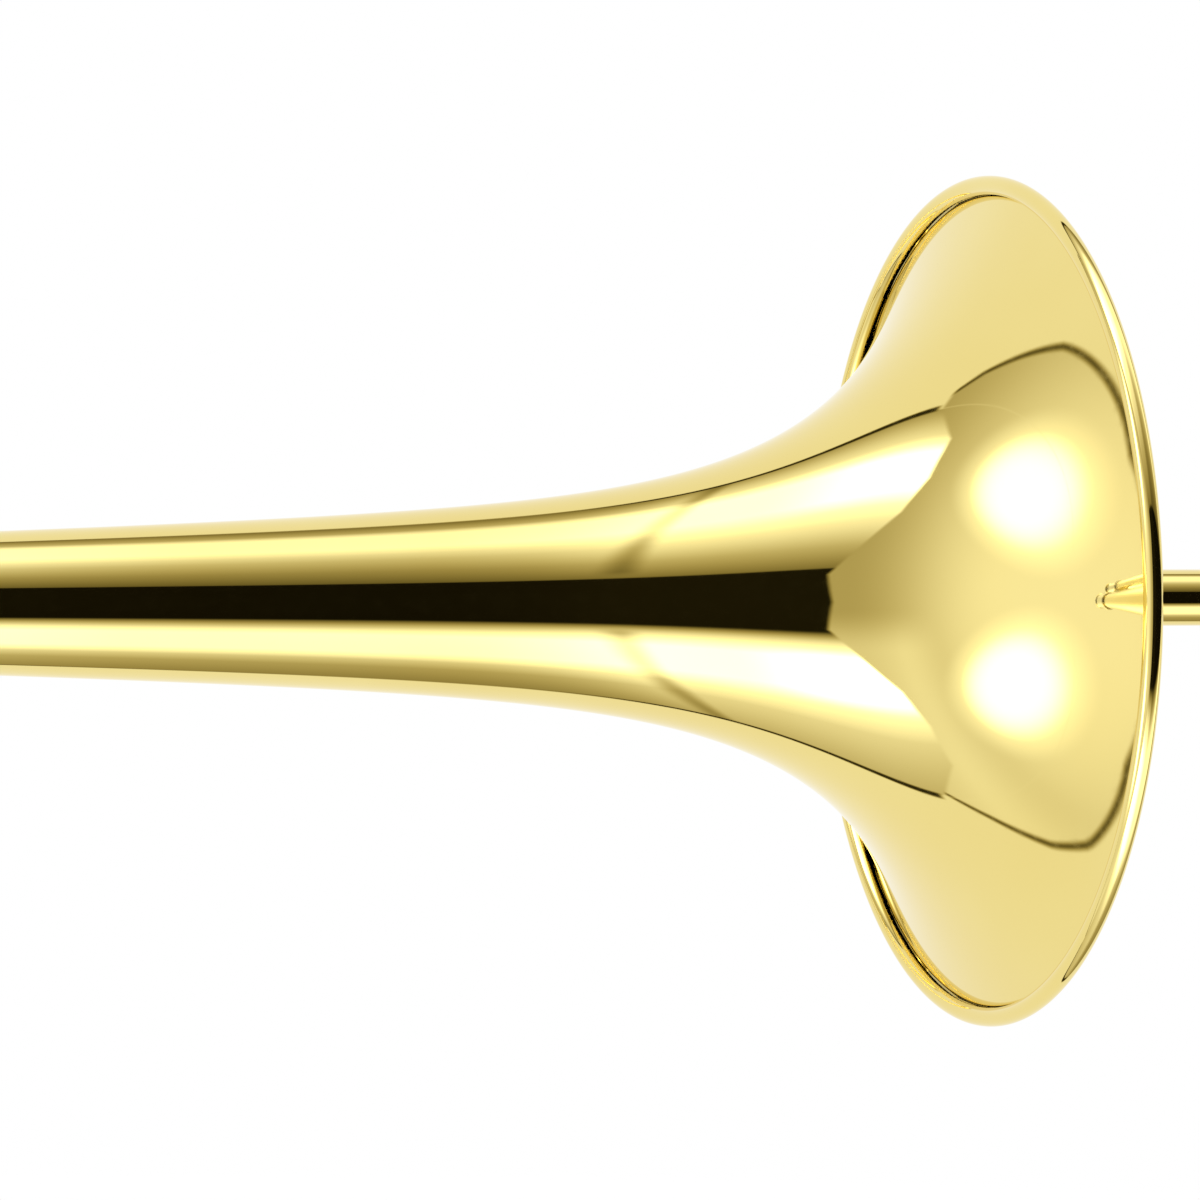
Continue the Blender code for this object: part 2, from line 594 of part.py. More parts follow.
def make_bell_section(brass, nickel, steel):
    circle, axis = make_bell(brass)
    turn("rim_wire", circle, steel, base=axis, sides=BELL_SIDES)
    bell_bore = BELL_TAIL_RADIUS + GAP
    front = BELL_TAIL + BELL_SLEEVE_LAP
    bell_sleeve = sleeve_outline(front, front - SLEEVE_FRONT + SLEEVE_LENGTH, bell_bore)
    turn("bell_tuning_sleeve", bell_sleeve, nickel, base=axis, sides=VALVE_SIDES)
    neck_sleeve = sleeve_outline(SLEEVE_FRONT, SLEEVE_LENGTH, SLEEVE_BORE)
    turn("neck_tuning_sleeve", neck_sleeve, nickel, sides=RING_SIDES)

    mouth, seat = TENON_RADIUS + TURN_GAP, TENON_RADIUS - TENON_TAPER + TURN_GAP
    socket = -TENON_LENGTH - SOCKET_ROOM
    receiver = [(0, mouth), (0, THREAD_RADIUS), (-THREAD_LENGTH, THREAD_RADIUS)]
    receiver += [(-THREAD_LENGTH - EDGE_RUN, RECEIVER_RADIUS), (-RECEIVER_LENGTH, RECEIVER_RADIUS)]
    receiver += [(-RECEIVER_LENGTH, SLEEVE_BORE), (socket, SLEEVE_BORE), (socket, seat)]
    turn("slide_receiver", receiver, nickel, sides=RING_SIDES)

    front_port = VALVE_X + PORT_SEAT
    gooseneck = Route((socket - GAP, 0, 0), (-1, 0, 0)).straight(RECEIVER_LENGTH + socket)
    run = -RECEIVER_LENGTH - (VALVE_X + PORT_END)
    gooseneck.offset(run, -VALVE_Y, (0, -1, 0), ELBOW_STEPS).straight(VALVE_X + PORT_END - front_port)
    pipe("gooseneck", gooseneck.points, TUBE_RADIUS, NECK_BORE, brass)

    elbow = -VALVE_Y - PORT_END
    neck = Route((VALVE_X, VALVE_Y + PORT_SEAT, 0), (0, 1, 0)).straight(PORT_END - PORT_SEAT)
    neck.bend(elbow, math.pi / 2, (-1, 0, 0), ELBOW_STEPS)
    neck.straight(VALVE_X - elbow - (LEG_START + LEG_ROOM))
    pipe("neck_tube", neck.points, TUBE_RADIUS, NECK_BORE, brass)

    s_front, s_rear = BELL_MOUTH - FRONT_BRACE_X, BELL_MOUTH - REAR_BRACE_X
    bell_end = (-BELL_OFFSET, bell_radius(s_front))
    brace("front_bell_brace", FRONT_BRACE_X, 0, (bell_end, (0, RECEIVER_RADIUS)), brass, on_bell=True)
    bell_end = (-BELL_OFFSET, bell_radius(s_rear))
    brace("rear_bell_brace", REAR_BRACE_X, 0, (bell_end, (0, TUBE_RADIUS)), brass, on_bell=True)


def make_valve(brass, nickel, cork, rotor_body):
    centre = (VALVE_X, VALVE_Y, 0)
    barrel = rod_outline(-CASING_HALF, CASING_HALF, CASING_RADIUS)
    casing = turn("valve_casing", barrel, brass, base=centre, axis="Z", sides=VALVE_SIDES)
    port_radius = SLEEVE_BORE + PORT_WALL
    holes = []
    for name, axis, sign in (("front", "X", 1), ("rear", "X", -1), ("upper", "Y", 1), ("lower", "Y", -1)):
        port = rod_outline(sign * 0.8 * ROTOR_RADIUS, sign * PORT_END, port_radius)
        join(casing, turn(f"{name}_port", port, base=centre, axis=axis))
        hole = rod_outline(sign * 0.6 * ROTOR_RADIUS, sign * 2 * PORT_END, SLEEVE_BORE)
        holes.append(turn(f"{name}_port_hole", hole, base=centre, axis=axis))
    bore = rod_outline(-2 * CASING_HALF, 2 * CASING_HALF, ROTOR_RADIUS + GAP)
    cut(casing, *holes, turn("casing_bore", bore, base=centre, axis="Z", sides=VALVE_SIDES))

    low = CASING_HALF + GAP
    hub = SPINDLE_RADIUS + TURN_GAP
    plate = [(low, hub), (low, CASING_RADIUS - GAP), (PLATE_TOP, CASING_RADIUS - 2 * GAP), (PLATE_TOP, hub)]
    turn("bearing_plate", plate, nickel, base=centre, axis="Z", sides=VALVE_SIDES)

    brim, flat, inside = -low - 0.5 * CAP_HEIGHT, -low - CAP_HEIGHT, CASING_RADIUS - CAP_WALL
    cap = [(-low, CASING_RADIUS + GAP), (brim, CASING_RADIUS + GAP), (flat, 0.72 * CASING_RADIUS), (flat, 0)]
    cap += [(flat + CAP_WALL, 0), (flat + CAP_WALL, 0.70 * CASING_RADIUS)]
    cap += [(-low - 0.45 * CAP_HEIGHT, inside), (-low, inside)]
    turn("valve_cap", cap, brass, base=centre, axis="Z", sides=VALVE_SIDES)

    arm_top = ARM_Z + ARM_THICKNESS
    foot, top = -low - SPINDLE_FOOT, arm_top + SPINDLE_RISE
    body = [(foot, 0), (foot, SPINDLE_RADIUS), (-ROTOR_HALF, SPINDLE_RADIUS)]
    body += [(-ROTOR_HALF, ROTOR_RADIUS), (ROTOR_HALF, ROTOR_RADIUS), (ROTOR_HALF, SPINDLE_RADIUS)]
    body += [(top, SPINDLE_RADIUS), (top, 0)]
    rotor = turn("rotor", body, nickel, rotor_body, base=centre, axis="Z", sides=VALVE_SIDES)
    for name, sign in (("passage_in", 1), ("passage_out", -1)):
        start = (VALVE_X + sign * (ROTOR_RADIUS + CUT_MARGIN), VALVE_Y, 0)
        line = Route(start, (-sign, 0, 0)).straight(CUT_MARGIN)
        line.bend(ROTOR_RADIUS, math.pi / 2, (0, sign, 0), ELBOW_STEPS).straight(CUT_MARGIN)
        cut(rotor, pipe(name, line.points, PASSAGE_RADIUS, None, sides=SMALL_SIDES))

    lug = math.pi * 1.5 - STOP_SWING
    tip = (VALVE_X + STOP_RADIUS * math.cos(lug), VALVE_Y + STOP_RADIUS * math.sin(lug))
    bore_radius = SPINDLE_RADIUS + GAP
    pin_eye, hub = ((PIN_X, PIN_Y), centre[:2]), (ARM_EYE_RADIUS, bore_radius + ARM_HUB_WALL)
    arm = plate_between("stop_arm", pin_eye, hub, ARM_Z, arm_top, nickel, rotor_body, flat="Z")
    lug_ends = (LUG_TIP_RADIUS, LUG_ROOT_RADIUS)
    tail = plate_between("stop_lug", (tip, centre[:2]), lug_ends, ARM_Z, arm_top, flat="Z")
    pin = rod_outline(ARM_Z + ARM_THICKNESS / 3, LINK_Z + ARM_PIN_RISE, LINK_PIN)
    join(arm, tail, turn("stop_arm_pin", pin, base=(PIN_X, PIN_Y, 0), axis="Z", sides=SMALL_SIDES))
    bore = rod_outline(ARM_Z - CUT_REACH, ARM_Z + CUT_REACH, bore_radius)
    cut(arm, turn("stop_arm_bore", bore, base=centre, axis="Z", sides=VALVE_SIDES))

    clear = math.asin(LUG_TIP_RADIUS / STOP_RADIUS) + math.asin(STOP_CORK_RADIUS / STOP_RADIUS)
    clear += 2 * GAP / STOP_RADIUS
    plug = rod_outline(PLATE_TOP + GAP, arm_top, STOP_CORK_RADIUS)
    for name, a in (("rest_stop_cork", lug - clear), ("pressed_stop_cork", lug + 2 * STOP_SWING + clear)):
        spot = (VALVE_X + STOP_RADIUS * math.cos(a), VALVE_Y + STOP_RADIUS * math.sin(a), 0)
        turn(name, plug, cork, base=spot, axis="Z", sides=SMALL_SIDES)


def make_link(steel, link_body):
    tip_x = LEVER_X + LEVER_ARM * math.sin(LEVER_TILT)
    rear_hole, front_hole = LINK_PIN + TURN_GAP, LINK_PIN + LINK_PLAY
    rod = rod_outline(PIN_X + rear_hole + LINK_EYE / 3, tip_x - front_hole - LINK_EYE / 3, LINK_ROD)
    link = turn("valve_link", rod, steel, link_body, base=(0, PIN_Y, LINK_Z), sides=SMALL_SIDES)
    eyes = (("rear", PIN_X, "Z", rear_hole), ("front", tip_x, "Y", front_hole))
    for name, x, axis, hole in eyes:
        disc = rod_outline(-LINK_HALF, LINK_HALF, hole + LINK_EYE)
        join(link, turn(f"link_{name}_eye", disc, base=(x, PIN_Y, LINK_Z), axis=axis))
    for name, x, axis, hole in eyes:
        drill = rod_outline(-CUT_REACH, CUT_REACH, hole)
        cut(link, turn(f"link_{name}_hole", drill, base=(x, PIN_Y, LINK_Z), axis=axis))


def make_lever(brass, steel, lever_body):
    """The thumb lever is drawn upright about its pin; its carrier leans it to the rest position."""
    fork_half = LINK_HALF + LINK_DRIFT + GAP
    width, foot = fork_half + FORK_CHEEK, LEVER_ARM - FORK_DEPTH
    drop, reach, flare = LEVER_DROP, PADDLE_REACH, PADDLE_WIDTH
    top = LEVER_ARM - (FORK_DEPTH + FORK_SLOT) / 2
    stations = [(0, 0, top, LEVER_WIDTH), (0, 0, -0.45 * drop, LEVER_WIDTH)]
    stations += [(0, 0.06 * reach, -0.62 * drop, LEVER_WIDTH)]
    stations += [(-0.0005, 0.26 * reach, -0.81 * drop, 1.1 * LEVER_WIDTH)]
    stations += [(-0.001, 0.56 * reach, -0.93 * drop, 0.55 * flare)]
    stations += [(-0.002, 0.82 * reach, -0.98 * drop, 0.88 * flare), (-0.0045, reach, -drop, flare)]
    lever = strap("thumb_lever", stations, LEVER_THICKNESS, brass, lever_body, local=True)

    def on_lever(name, outline, height=0.0, sides=TUBE_SIDES):
        """A turned tool across the lever, in the lever's own frame."""
        return turn(name, outline, None, lever_body, (0, 0, height), "Y", sides, local=True)

    boss = on_lever("lever_boss", rod_outline(-LEVER_WIDTH / 2, LEVER_WIDTH / 2, LEVER_BOSS_RADIUS))
    fork_top = (FORK_HALF, width, LEVER_ARM + FORK_TOP)
    fork = box("lever_fork", (-FORK_HALF, -width, foot), fork_top, None, lever_body, local=True)
    slot_foot = (-CUT_REACH, -fork_half, LEVER_ARM - FORK_SLOT)
    slot_top = (CUT_REACH, fork_half, LEVER_ARM + CUT_REACH)
    join(lever, boss, fork)
    cut(lever, box("lever_fork_slot", slot_foot, slot_top, None, lever_body, local=True))
    pin_end = width + LINK_PIN_END
    join(lever, on_lever("lever_link_pin", rod_outline(-pin_end, pin_end, LINK_PIN), LEVER_ARM, SMALL_SIDES))
    cutter = 2 * CUT_REACH
    cut(lever, on_lever("lever_hole", rod_outline(-cutter, cutter, LEVER_PIN_RADIUS + TURN_GAP)))

    outside = SADDLE_HALF + CHEEK
    pin_axis, brace_axis = (LEVER_X, LEVER_Y, LEVER_Z), (FRONT_BRACE_X, LEVER_Y, 0)
    centres, ends = ((FRONT_BRACE_X, 0), (LEVER_X, LEVER_Z)), (SADDLE_BRACE_END, SADDLE_PIN_END)
    saddle = plate_between("lever_saddle", centres, ends, LEVER_Y - outside, LEVER_Y + outside, brass)
    room_low = (LEVER_X - cutter, LEVER_Y - SADDLE_HALF, -cutter)
    room_high = (FRONT_BRACE_X - BRACE_RADIUS - SADDLE_WEB, LEVER_Y + SADDLE_HALF, cutter)
    cut(saddle, box("saddle_room", room_low, room_high))
    brace_hole = rod_outline(-cutter, cutter, BRACE_RADIUS + GAP)
    cut(saddle, turn("saddle_brace_hole", brace_hole, base=brace_axis, axis="Y", sides=SMALL_SIDES))
    pin_hole = rod_outline(-cutter, cutter, LEVER_PIN_RADIUS + GAP)
    cut(saddle, turn("saddle_pin_hole", pin_hole, base=pin_axis, axis="Y", sides=SMALL_SIDES))

    head, seat = LEVER_PIN_RADIUS + HEAD_RISE, -outside - GAP
    head_end, pin_end = -outside - LEVER_PIN_HEAD, outside + LEVER_PIN_END
    pin = [(head_end, 0), (head_end, head), (seat, head), (seat, LEVER_PIN_RADIUS)]
    pin += [(pin_end, LEVER_PIN_RADIUS), (pin_end, 0)]
    turn("lever_pin", pin, steel, base=pin_axis, axis="Y", sides=SMALL_SIDES)
    make_lever_spring(steel, LEVER_Y + LEVER_WIDTH / 2, LEVER_Y + SADDLE_HALF)


def make_lever_spring(steel, low, high):
    """A torsion spring round the lever's pin, beside the boss, with a leg that bears on the saddle's web."""
    pitch = (high - low - 2 * SPRING_WIRE - 4 * GAP) / SPRING_TURNS
    line = []
    for k in range(SPRING_TURNS * SPRING_STEPS + 1):
        a = SPRING_START + math.tau * k / SPRING_STEPS
        y = low + SPRING_WIRE + 2 * GAP + pitch * k / SPRING_STEPS
        line.append(Vector((LEVER_X + SPRING_RADIUS * math.cos(a), y, LEVER_Z + SPRING_RADIUS * math.sin(a))))
    leg = Vector((-math.sin(SPRING_START), 0, math.cos(SPRING_START)))
    for _ in range(2):
        line.append(line[-1] + leg * SPRING_LEG / 2)
    pipe("lever_spring", line, SPRING_WIRE, None, steel, sides=WIRE_SIDES)
    print("least gap between the lever spring's turns, mm:", round((pitch - 2 * SPRING_WIRE) * 1000, 2))


def make_f_loop(brass, nickel):
    climb = (0, 0, 1)
    end = F_LEG_START + LEG_ROOM
    back = Route((VALVE_X - PORT_SEAT, VALVE_Y, 0), (-1, 0, 0)).straight(PORT_END - PORT_SEAT + F_RETURN_LEAD)
    back.offset(F_RUN, F_HEIGHT, climb, CLIMB_STEPS)
    back.straight(back.points[-1].x - end)
    pipe("f_return_tube", back.points, TUBE_RADIUS, NECK_BORE, brass)

    side = Route((VALVE_X, VALVE_Y - PORT_SEAT, 0), (0, -1, 0)).straight(PORT_END - PORT_SEAT)
    elbow = VALVE_Y - PORT_END - F_OUTER_Y
    side.bend(elbow, math.pi / 2, (-1, 0, 0), ELBOW_STEPS).straight(F_OUTER_LEAD)
    side.offset(F_RUN, F_HEIGHT, climb, CLIMB_STEPS)
    side.straight(side.points[-1].x - end)
    pipe("f_outer_tube", side.points, TUBE_RADIUS, NECK_BORE, brass)

    rows = (("return", VALVE_Y), ("outer", F_OUTER_Y))
    for name, y in rows:
        outline = sleeve_outline(F_SLEEVE_FRONT, F_SLEEVE_LENGTH, SLEEVE_BORE)
        turn(f"f_{name}_sleeve", outline, nickel, base=(0, y, F_HEIGHT), sides=RING_SIDES)
    tubes = ((F_OUTER_Y, TUBE_RADIUS), (VALVE_Y, TUBE_RADIUS))
    loop_brace = brace("f_loop_brace", REAR_BRACE_X, F_HEIGHT, tubes, brass)
    sleeves = ((F_OUTER_Y, SLEEVE_BORE + SLEEVE_WALL), (VALVE_Y, SLEEVE_BORE + SLEEVE_WALL))
    brace("f_sleeve_brace", F_BRACE_X, F_HEIGHT, sleeves, brass)
    post_foot = (REAR_BRACE_X, (F_OUTER_Y + VALVE_Y) / 2, 0)
    post = rod_outline(0, F_HEIGHT, F_POST_RADIUS)
    join(loop_brace, turn("f_loop_post", post, base=post_foot, axis="Z", sides=SMALL_SIDES))
    seat = rod_outline(-CUT_REACH, CUT_REACH, BRACE_RADIUS + GAP)
    cut(loop_brace, turn("post_seat", seat, base=post_foot, axis="Y", sides=SMALL_SIDES))


def make_bow(name, x, z, ends, curve_steps, finish, carrier, sides=TUBE_SIDES):
    """A half-round bow behind two legs, with a ferrule over each. Ends are (y, leg radius), high y first."""
    (y0, r0), (y1, r1) = ends
    plain = BOW_FERRULE - BOW_LAP - STEP_RUN
    line = Route((x + BOW_FERRULE, y0, z), (-1, 0, 0)).straight(BOW_LAP).straight(STEP_RUN).straight(plain)
    line.bend((y0 - y1) / 2, math.pi, (0, -1, 0), curve_steps)
    line.straight(plain).straight(STEP_RUN).straight(BOW_LAP)
    curve = len(line.points) - 4
    shares = [max(0, min(1, (k - 1) / (curve - 3))) for k in range(curve)]
    middle = [r0 + (r1 - r0) * share for share in shares]
    rise = GAP + BOW_FERRULE_WALL
    radii = [r0 + rise] * 2 + middle + [r1 + rise] * 2
    bores = [r0 + GAP] * 2 + [r - TUBE_WALL for r in middle] + [r1 + GAP] * 2
    return pipe(name, line.points, radii, bores, finish, carrier, sides)


def make_tuning_slides(brass, nickel, main_body, f_body):
    bell_leg = BELL_TAIL_RADIUS
    into_bow = BOW_FERRULE - BOW_LAP
    rows = (("neck_slide_leg", 0, TUBE_RADIUS), ("bell_slide_leg", -BELL_OFFSET, bell_leg))
    for name, y, radius in rows:
        outline = tube_outline(LEG_START, BOW_X + into_bow, radius, radius - TUBE_WALL)
        turn(name, outline, nickel, main_body, base=(0, y, 0), sides=RING_SIDES)
    ends = ((0, TUBE_RADIUS), (-BELL_OFFSET, bell_leg))
    make_bow("main_bow", BOW_X, 0, ends, MAIN_BOW_STEPS, brass, main_body)
    rise = GAP + BOW_FERRULE_WALL
    ferrules = ((-BELL_OFFSET, bell_leg + rise), (0, TUBE_RADIUS + rise))
    brace_x = BOW_X + BOW_FERRULE / 2
    brace("main_slide_brace", brace_x, 0, ferrules, brass, main_body, flange=MAIN_BRACE_FLANGE)

    leg = tube_outline(F_LEG_START, F_BOW_X + into_bow, TUBE_RADIUS, NECK_BORE)
    for name, y in (("f_return_leg", VALVE_Y), ("f_outer_leg", F_OUTER_Y)):
        turn(name, leg, nickel, f_body, base=(0, y, F_HEIGHT), sides=RING_SIDES)
    ends = ((VALVE_Y, TUBE_RADIUS), (F_OUTER_Y, TUBE_RADIUS))
    make_bow("f_bow", F_BOW_X, F_HEIGHT, ends, F_BOW_STEPS, brass, f_body)


def make_inner_slide(nickel, steel, cork, inner_body, nut_body, ring_body):
    collar_front = FACE_GAP + COLLAR_LENGTH
    barrel_hole = INNER_RADIUS + GAP
    neck = TENON_RADIUS + GAP
    tenon_end, tube_seat = BARREL_START - GAP, INNER_START - GAP
    tenon = [(-TENON_LENGTH, INNER_BORE), (-TENON_LENGTH, TENON_RADIUS - TENON_TAPER)]
    tenon += [(FACE_GAP, TENON_RADIUS), (FACE_GAP, THREAD_RADIUS)]
    tenon += [(collar_front, THREAD_RADIUS), (collar_front, neck)]
    tenon += [(tenon_end, neck), (tenon_end, barrel_hole), (tube_seat, barrel_hole), (tube_seat, INNER_BORE)]
    turn("slide_tenon", tenon, nickel, inner_body, sides=RING_SIDES)

    thread, back = THREAD_RADIUS + TURN_GAP, NUT_FRONT - NUT_LENGTH
    shoulder, nut_hole, eased = collar_front + TURN_GAP, neck + TURN_GAP, NUT_RADIUS - EDGE_FALL
    nut = [(back, thread), (back, eased), (back + EDGE_RUN, NUT_RADIUS), (NUT_FRONT - EDGE_RUN, NUT_RADIUS)]
    nut += [(NUT_FRONT, eased), (NUT_FRONT, nut_hole), (shoulder, nut_hole), (shoulder, thread)]
    turn("slide_lock_nut", nut, nickel, nut_body, sides=RING_SIDES)

    barrel_end = BARREL_START + BARREL_LENGTH
    inside, floor = BARREL_RADIUS - BARREL_WALL, BARREL_START + BARREL_FLOOR
    barrel = [(BARREL_START, barrel_hole), (BARREL_START, BARREL_RADIUS - BARREL_NOSE_FALL)]
    barrel += [(BARREL_START + BARREL_NOSE_RUN, BARREL_RADIUS), (barrel_end, BARREL_RADIUS)]
    barrel += [(barrel_end, inside), (floor, inside), (floor, barrel_hole)]
    ring = tube_outline(floor + GAP, floor + CORK_LENGTH, inside - GAP, barrel_hole)
    stocking, thick = INNER_END - STOCKING_LENGTH, INNER_RADIUS + STOCKING_RISE
    tube = [(INNER_START, INNER_BORE), (INNER_START, INNER_RADIUS), (stocking, INNER_RADIUS)]
    tube += [(stocking + STOCKING_RAMP, thick), (INNER_END, thick), (INNER_END, INNER_BORE)]
    for side, y in (("lower", 0), ("upper", SLIDE_SPAN)):
        for name, outline, finish in (
            ("cork_barrel", barrel, nickel), ("bumper_cork", ring, cork), ("inner_tube", tube, steel)
        ):
            turn(f"{side}_{name}", outline, finish, inner_body, base=(0, y, 0), sides=RING_SIDES)

    ends = ((0, BARREL_RADIUS), (SLIDE_SPAN, BARREL_RADIUS))
    brace("grip_brace", GRIP_BRACE_X, 0, ends, nickel, inner_body, GRIP_BRACE_RADIUS, GRIP_BRACE_FLANGE)
    make_lock_ring(nickel, ring_body)


def sector(name, low, high, inside, outside, first, last):
    """A cutter: part of a ring round X, between two angles measured from +Y towards +Z."""
    loops = []
    for k in range(END_STEPS + 1):
        a = first + (last - first) * k / END_STEPS
        out = Vector((0, math.cos(a), math.sin(a)))
        corners = ((low, inside), (low, outside), (high, outside), (high, inside))
        loops.append([X_AXIS * x + out * r for x, r in corners])
    return loft(name, loops)


def make_lock_ring(nickel, ring_body):
    """It turns on the lower barrel; its slot lets the outer slide's stud out, or holds it once turned."""
    end = LOCK_RING_START + LOCK_RING_LENGTH
    bore = BARREL_RADIUS + TURN_GAP
    band, band_radius = LOCK_RING_START + LOCK_BAND_LENGTH, LOCK_RING_RADIUS + LOCK_BAND_RISE
    body = bore + LOCK_RING_WALL
    outline = [(LOCK_RING_START, bore), (LOCK_RING_START, band_radius), (band, band_radius)]
    outline += [(band + EDGE_RUN, body), (end, body), (end, bore)]
    ring = turn("slide_lock_ring", outline, nickel, ring_body, sides=RING_SIDES)
    half = STUD_RADIUS + TURN_GAP
    low, high, inside, outside = STUD_X - half, STUD_X + half, bore - CUT_MARGIN, band_radius + CUT_MARGIN
    cut(ring, box("lock_slot", (low, -half, inside), (end + CUT_MARGIN, half, outside)))
    up, wide = math.pi / 2, math.asin(half / bore)
    cut(ring, sector("lock_notch", low, high, inside, outside, up - LOCK_TRAVEL - wide, up + wide / 4))


def make_outer_slide(brass, nickel, rubber, steel, cork, outer_body, key_body):
    sleeve_end, bore = OUTER_START + TOP_SLEEVE_LENGTH, OUTER_RADIUS + GAP
    bead, bead_radius = sleeve_end - TOP_BEAD_LENGTH, TOP_SLEEVE_RADIUS + TOP_BEAD_RISE
    sleeve = [(OUTER_START, bore), (OUTER_START, TOP_SLEEVE_RADIUS), (bead, TOP_SLEEVE_RADIUS)]
    sleeve += [(bead + EDGE_RUN, bead_radius), (sleeve_end - 2 * EDGE_RUN, bead_radius)]
    sleeve += [(sleeve_end, bore + TOP_LIP), (sleeve_end, bore)]
    tube = tube_outline(OUTER_START, OUTER_END, OUTER_RADIUS, OUTER_BORE)
    for name, y in (("lower", 0), ("upper", SLIDE_SPAN)):
        turn(f"{name}_outer_tube", tube, brass, outer_body, base=(0, y, 0), sides=RING_SIDES)
        top = turn(f"{name}_top_sleeve", sleeve, nickel, outer_body, base=(0, y, 0), sides=RING_SIDES)
        if name == "lower":
            stud = rod_outline(bore + STUD_FOOT, BARREL_RADIUS + TURN_GAP + LOCK_RING_WALL, STUD_RADIUS)
            join(top, turn("lock_stud", stud, base=(STUD_X, 0, 0), axis="Z", sides=SMALL_SIDES))
    ends = ((0, OUTER_RADIUS), (SLIDE_SPAN, OUTER_RADIUS))
    stay = (GRIP_BRACE_RADIUS, OUTER_BRACE_FLANGE)
    brace("outer_slide_brace", OUTER_BRACE_X, 0, ends, nickel, outer_body, *stay)

    socket = SLIDE_BOW_LAP + GAP
    line = Route((OUTER_END - SLIDE_BOW_LAP, 0, 0), (1, 0, 0)).straight(socket).straight(STEP_RUN)
    straight = SLIDE_BOW_X - line.points[-1].x
    line.straight(straight).bend(SLIDE_BOW_RADIUS, math.pi, (0, 1, 0), SLIDE_BOW_STEPS)
    line.straight(straight).straight(STEP_RUN).straight(socket)
    curve = len(line.points) - 4
    radii = [bore + SLEEVE_WALL] * 2 + [OUTER_RADIUS] * curve + [bore + SLEEVE_WALL] * 2
    bores = [bore] * 2 + [OUTER_BORE] * curve + [bore] * 2
    bow = pipe("slide_bow", line.points, radii, bores, brass, outer_body)
    make_bumper(nickel, rubber, outer_body)
    make_water_key(brass, nickel, steel, cork, outer_body, key_body, bow)


def bow_cutter(name):
    """The outside of the slide's bow, a clearance larger, to seat what stands on it."""
    line = Route((SLIDE_BOW_X, 0, 0), (1, 0, 0)).bend(SLIDE_BOW_RADIUS, math.pi, (0, 1, 0), SLIDE_BOW_STEPS)
    return pipe(name, line.points, OUTER_RADIUS + GAP, None)


def make_bumper(nickel, rubber, outer_body):
    middle = (0, SLIDE_BOW_RADIUS, 0)
    crown = SLIDE_BOW_X + SLIDE_BOW_RADIUS + OUTER_RADIUS
    foot, end, eased = crown - BUMPER_HOLDER_FOOT, crown + BUMPER_HOLDER_LENGTH, BUMPER_RADIUS - EDGE_FALL
    cup = [(foot, 0), (foot, BUMPER_RADIUS), (end - EDGE_RUN, BUMPER_RADIUS), (end, eased), (end, 0)]
    holder = turn("bumper_holder", cup, nickel, outer_body, base=middle)
    cut(holder, bow_cutter("bumper_seat"))
    tip = crown + BUMPER_LENGTH
    crowned = [(tip - back, eased - fall) for back, fall in KNOB_END]
    knob = [(end + GAP, 0), (end + GAP, eased), *crowned, (tip, 0)]
    turn("slide_bumper", knob, rubber, outer_body, base=middle)


def on_bow(angle):
    """Point on the slide bow's centreline, at an angle from the lower side's end of the curve."""
    r = SLIDE_BOW_RADIUS
    return Vector((SLIDE_BOW_X + r * math.sin(angle), r * (1 - math.cos(angle)), 0))


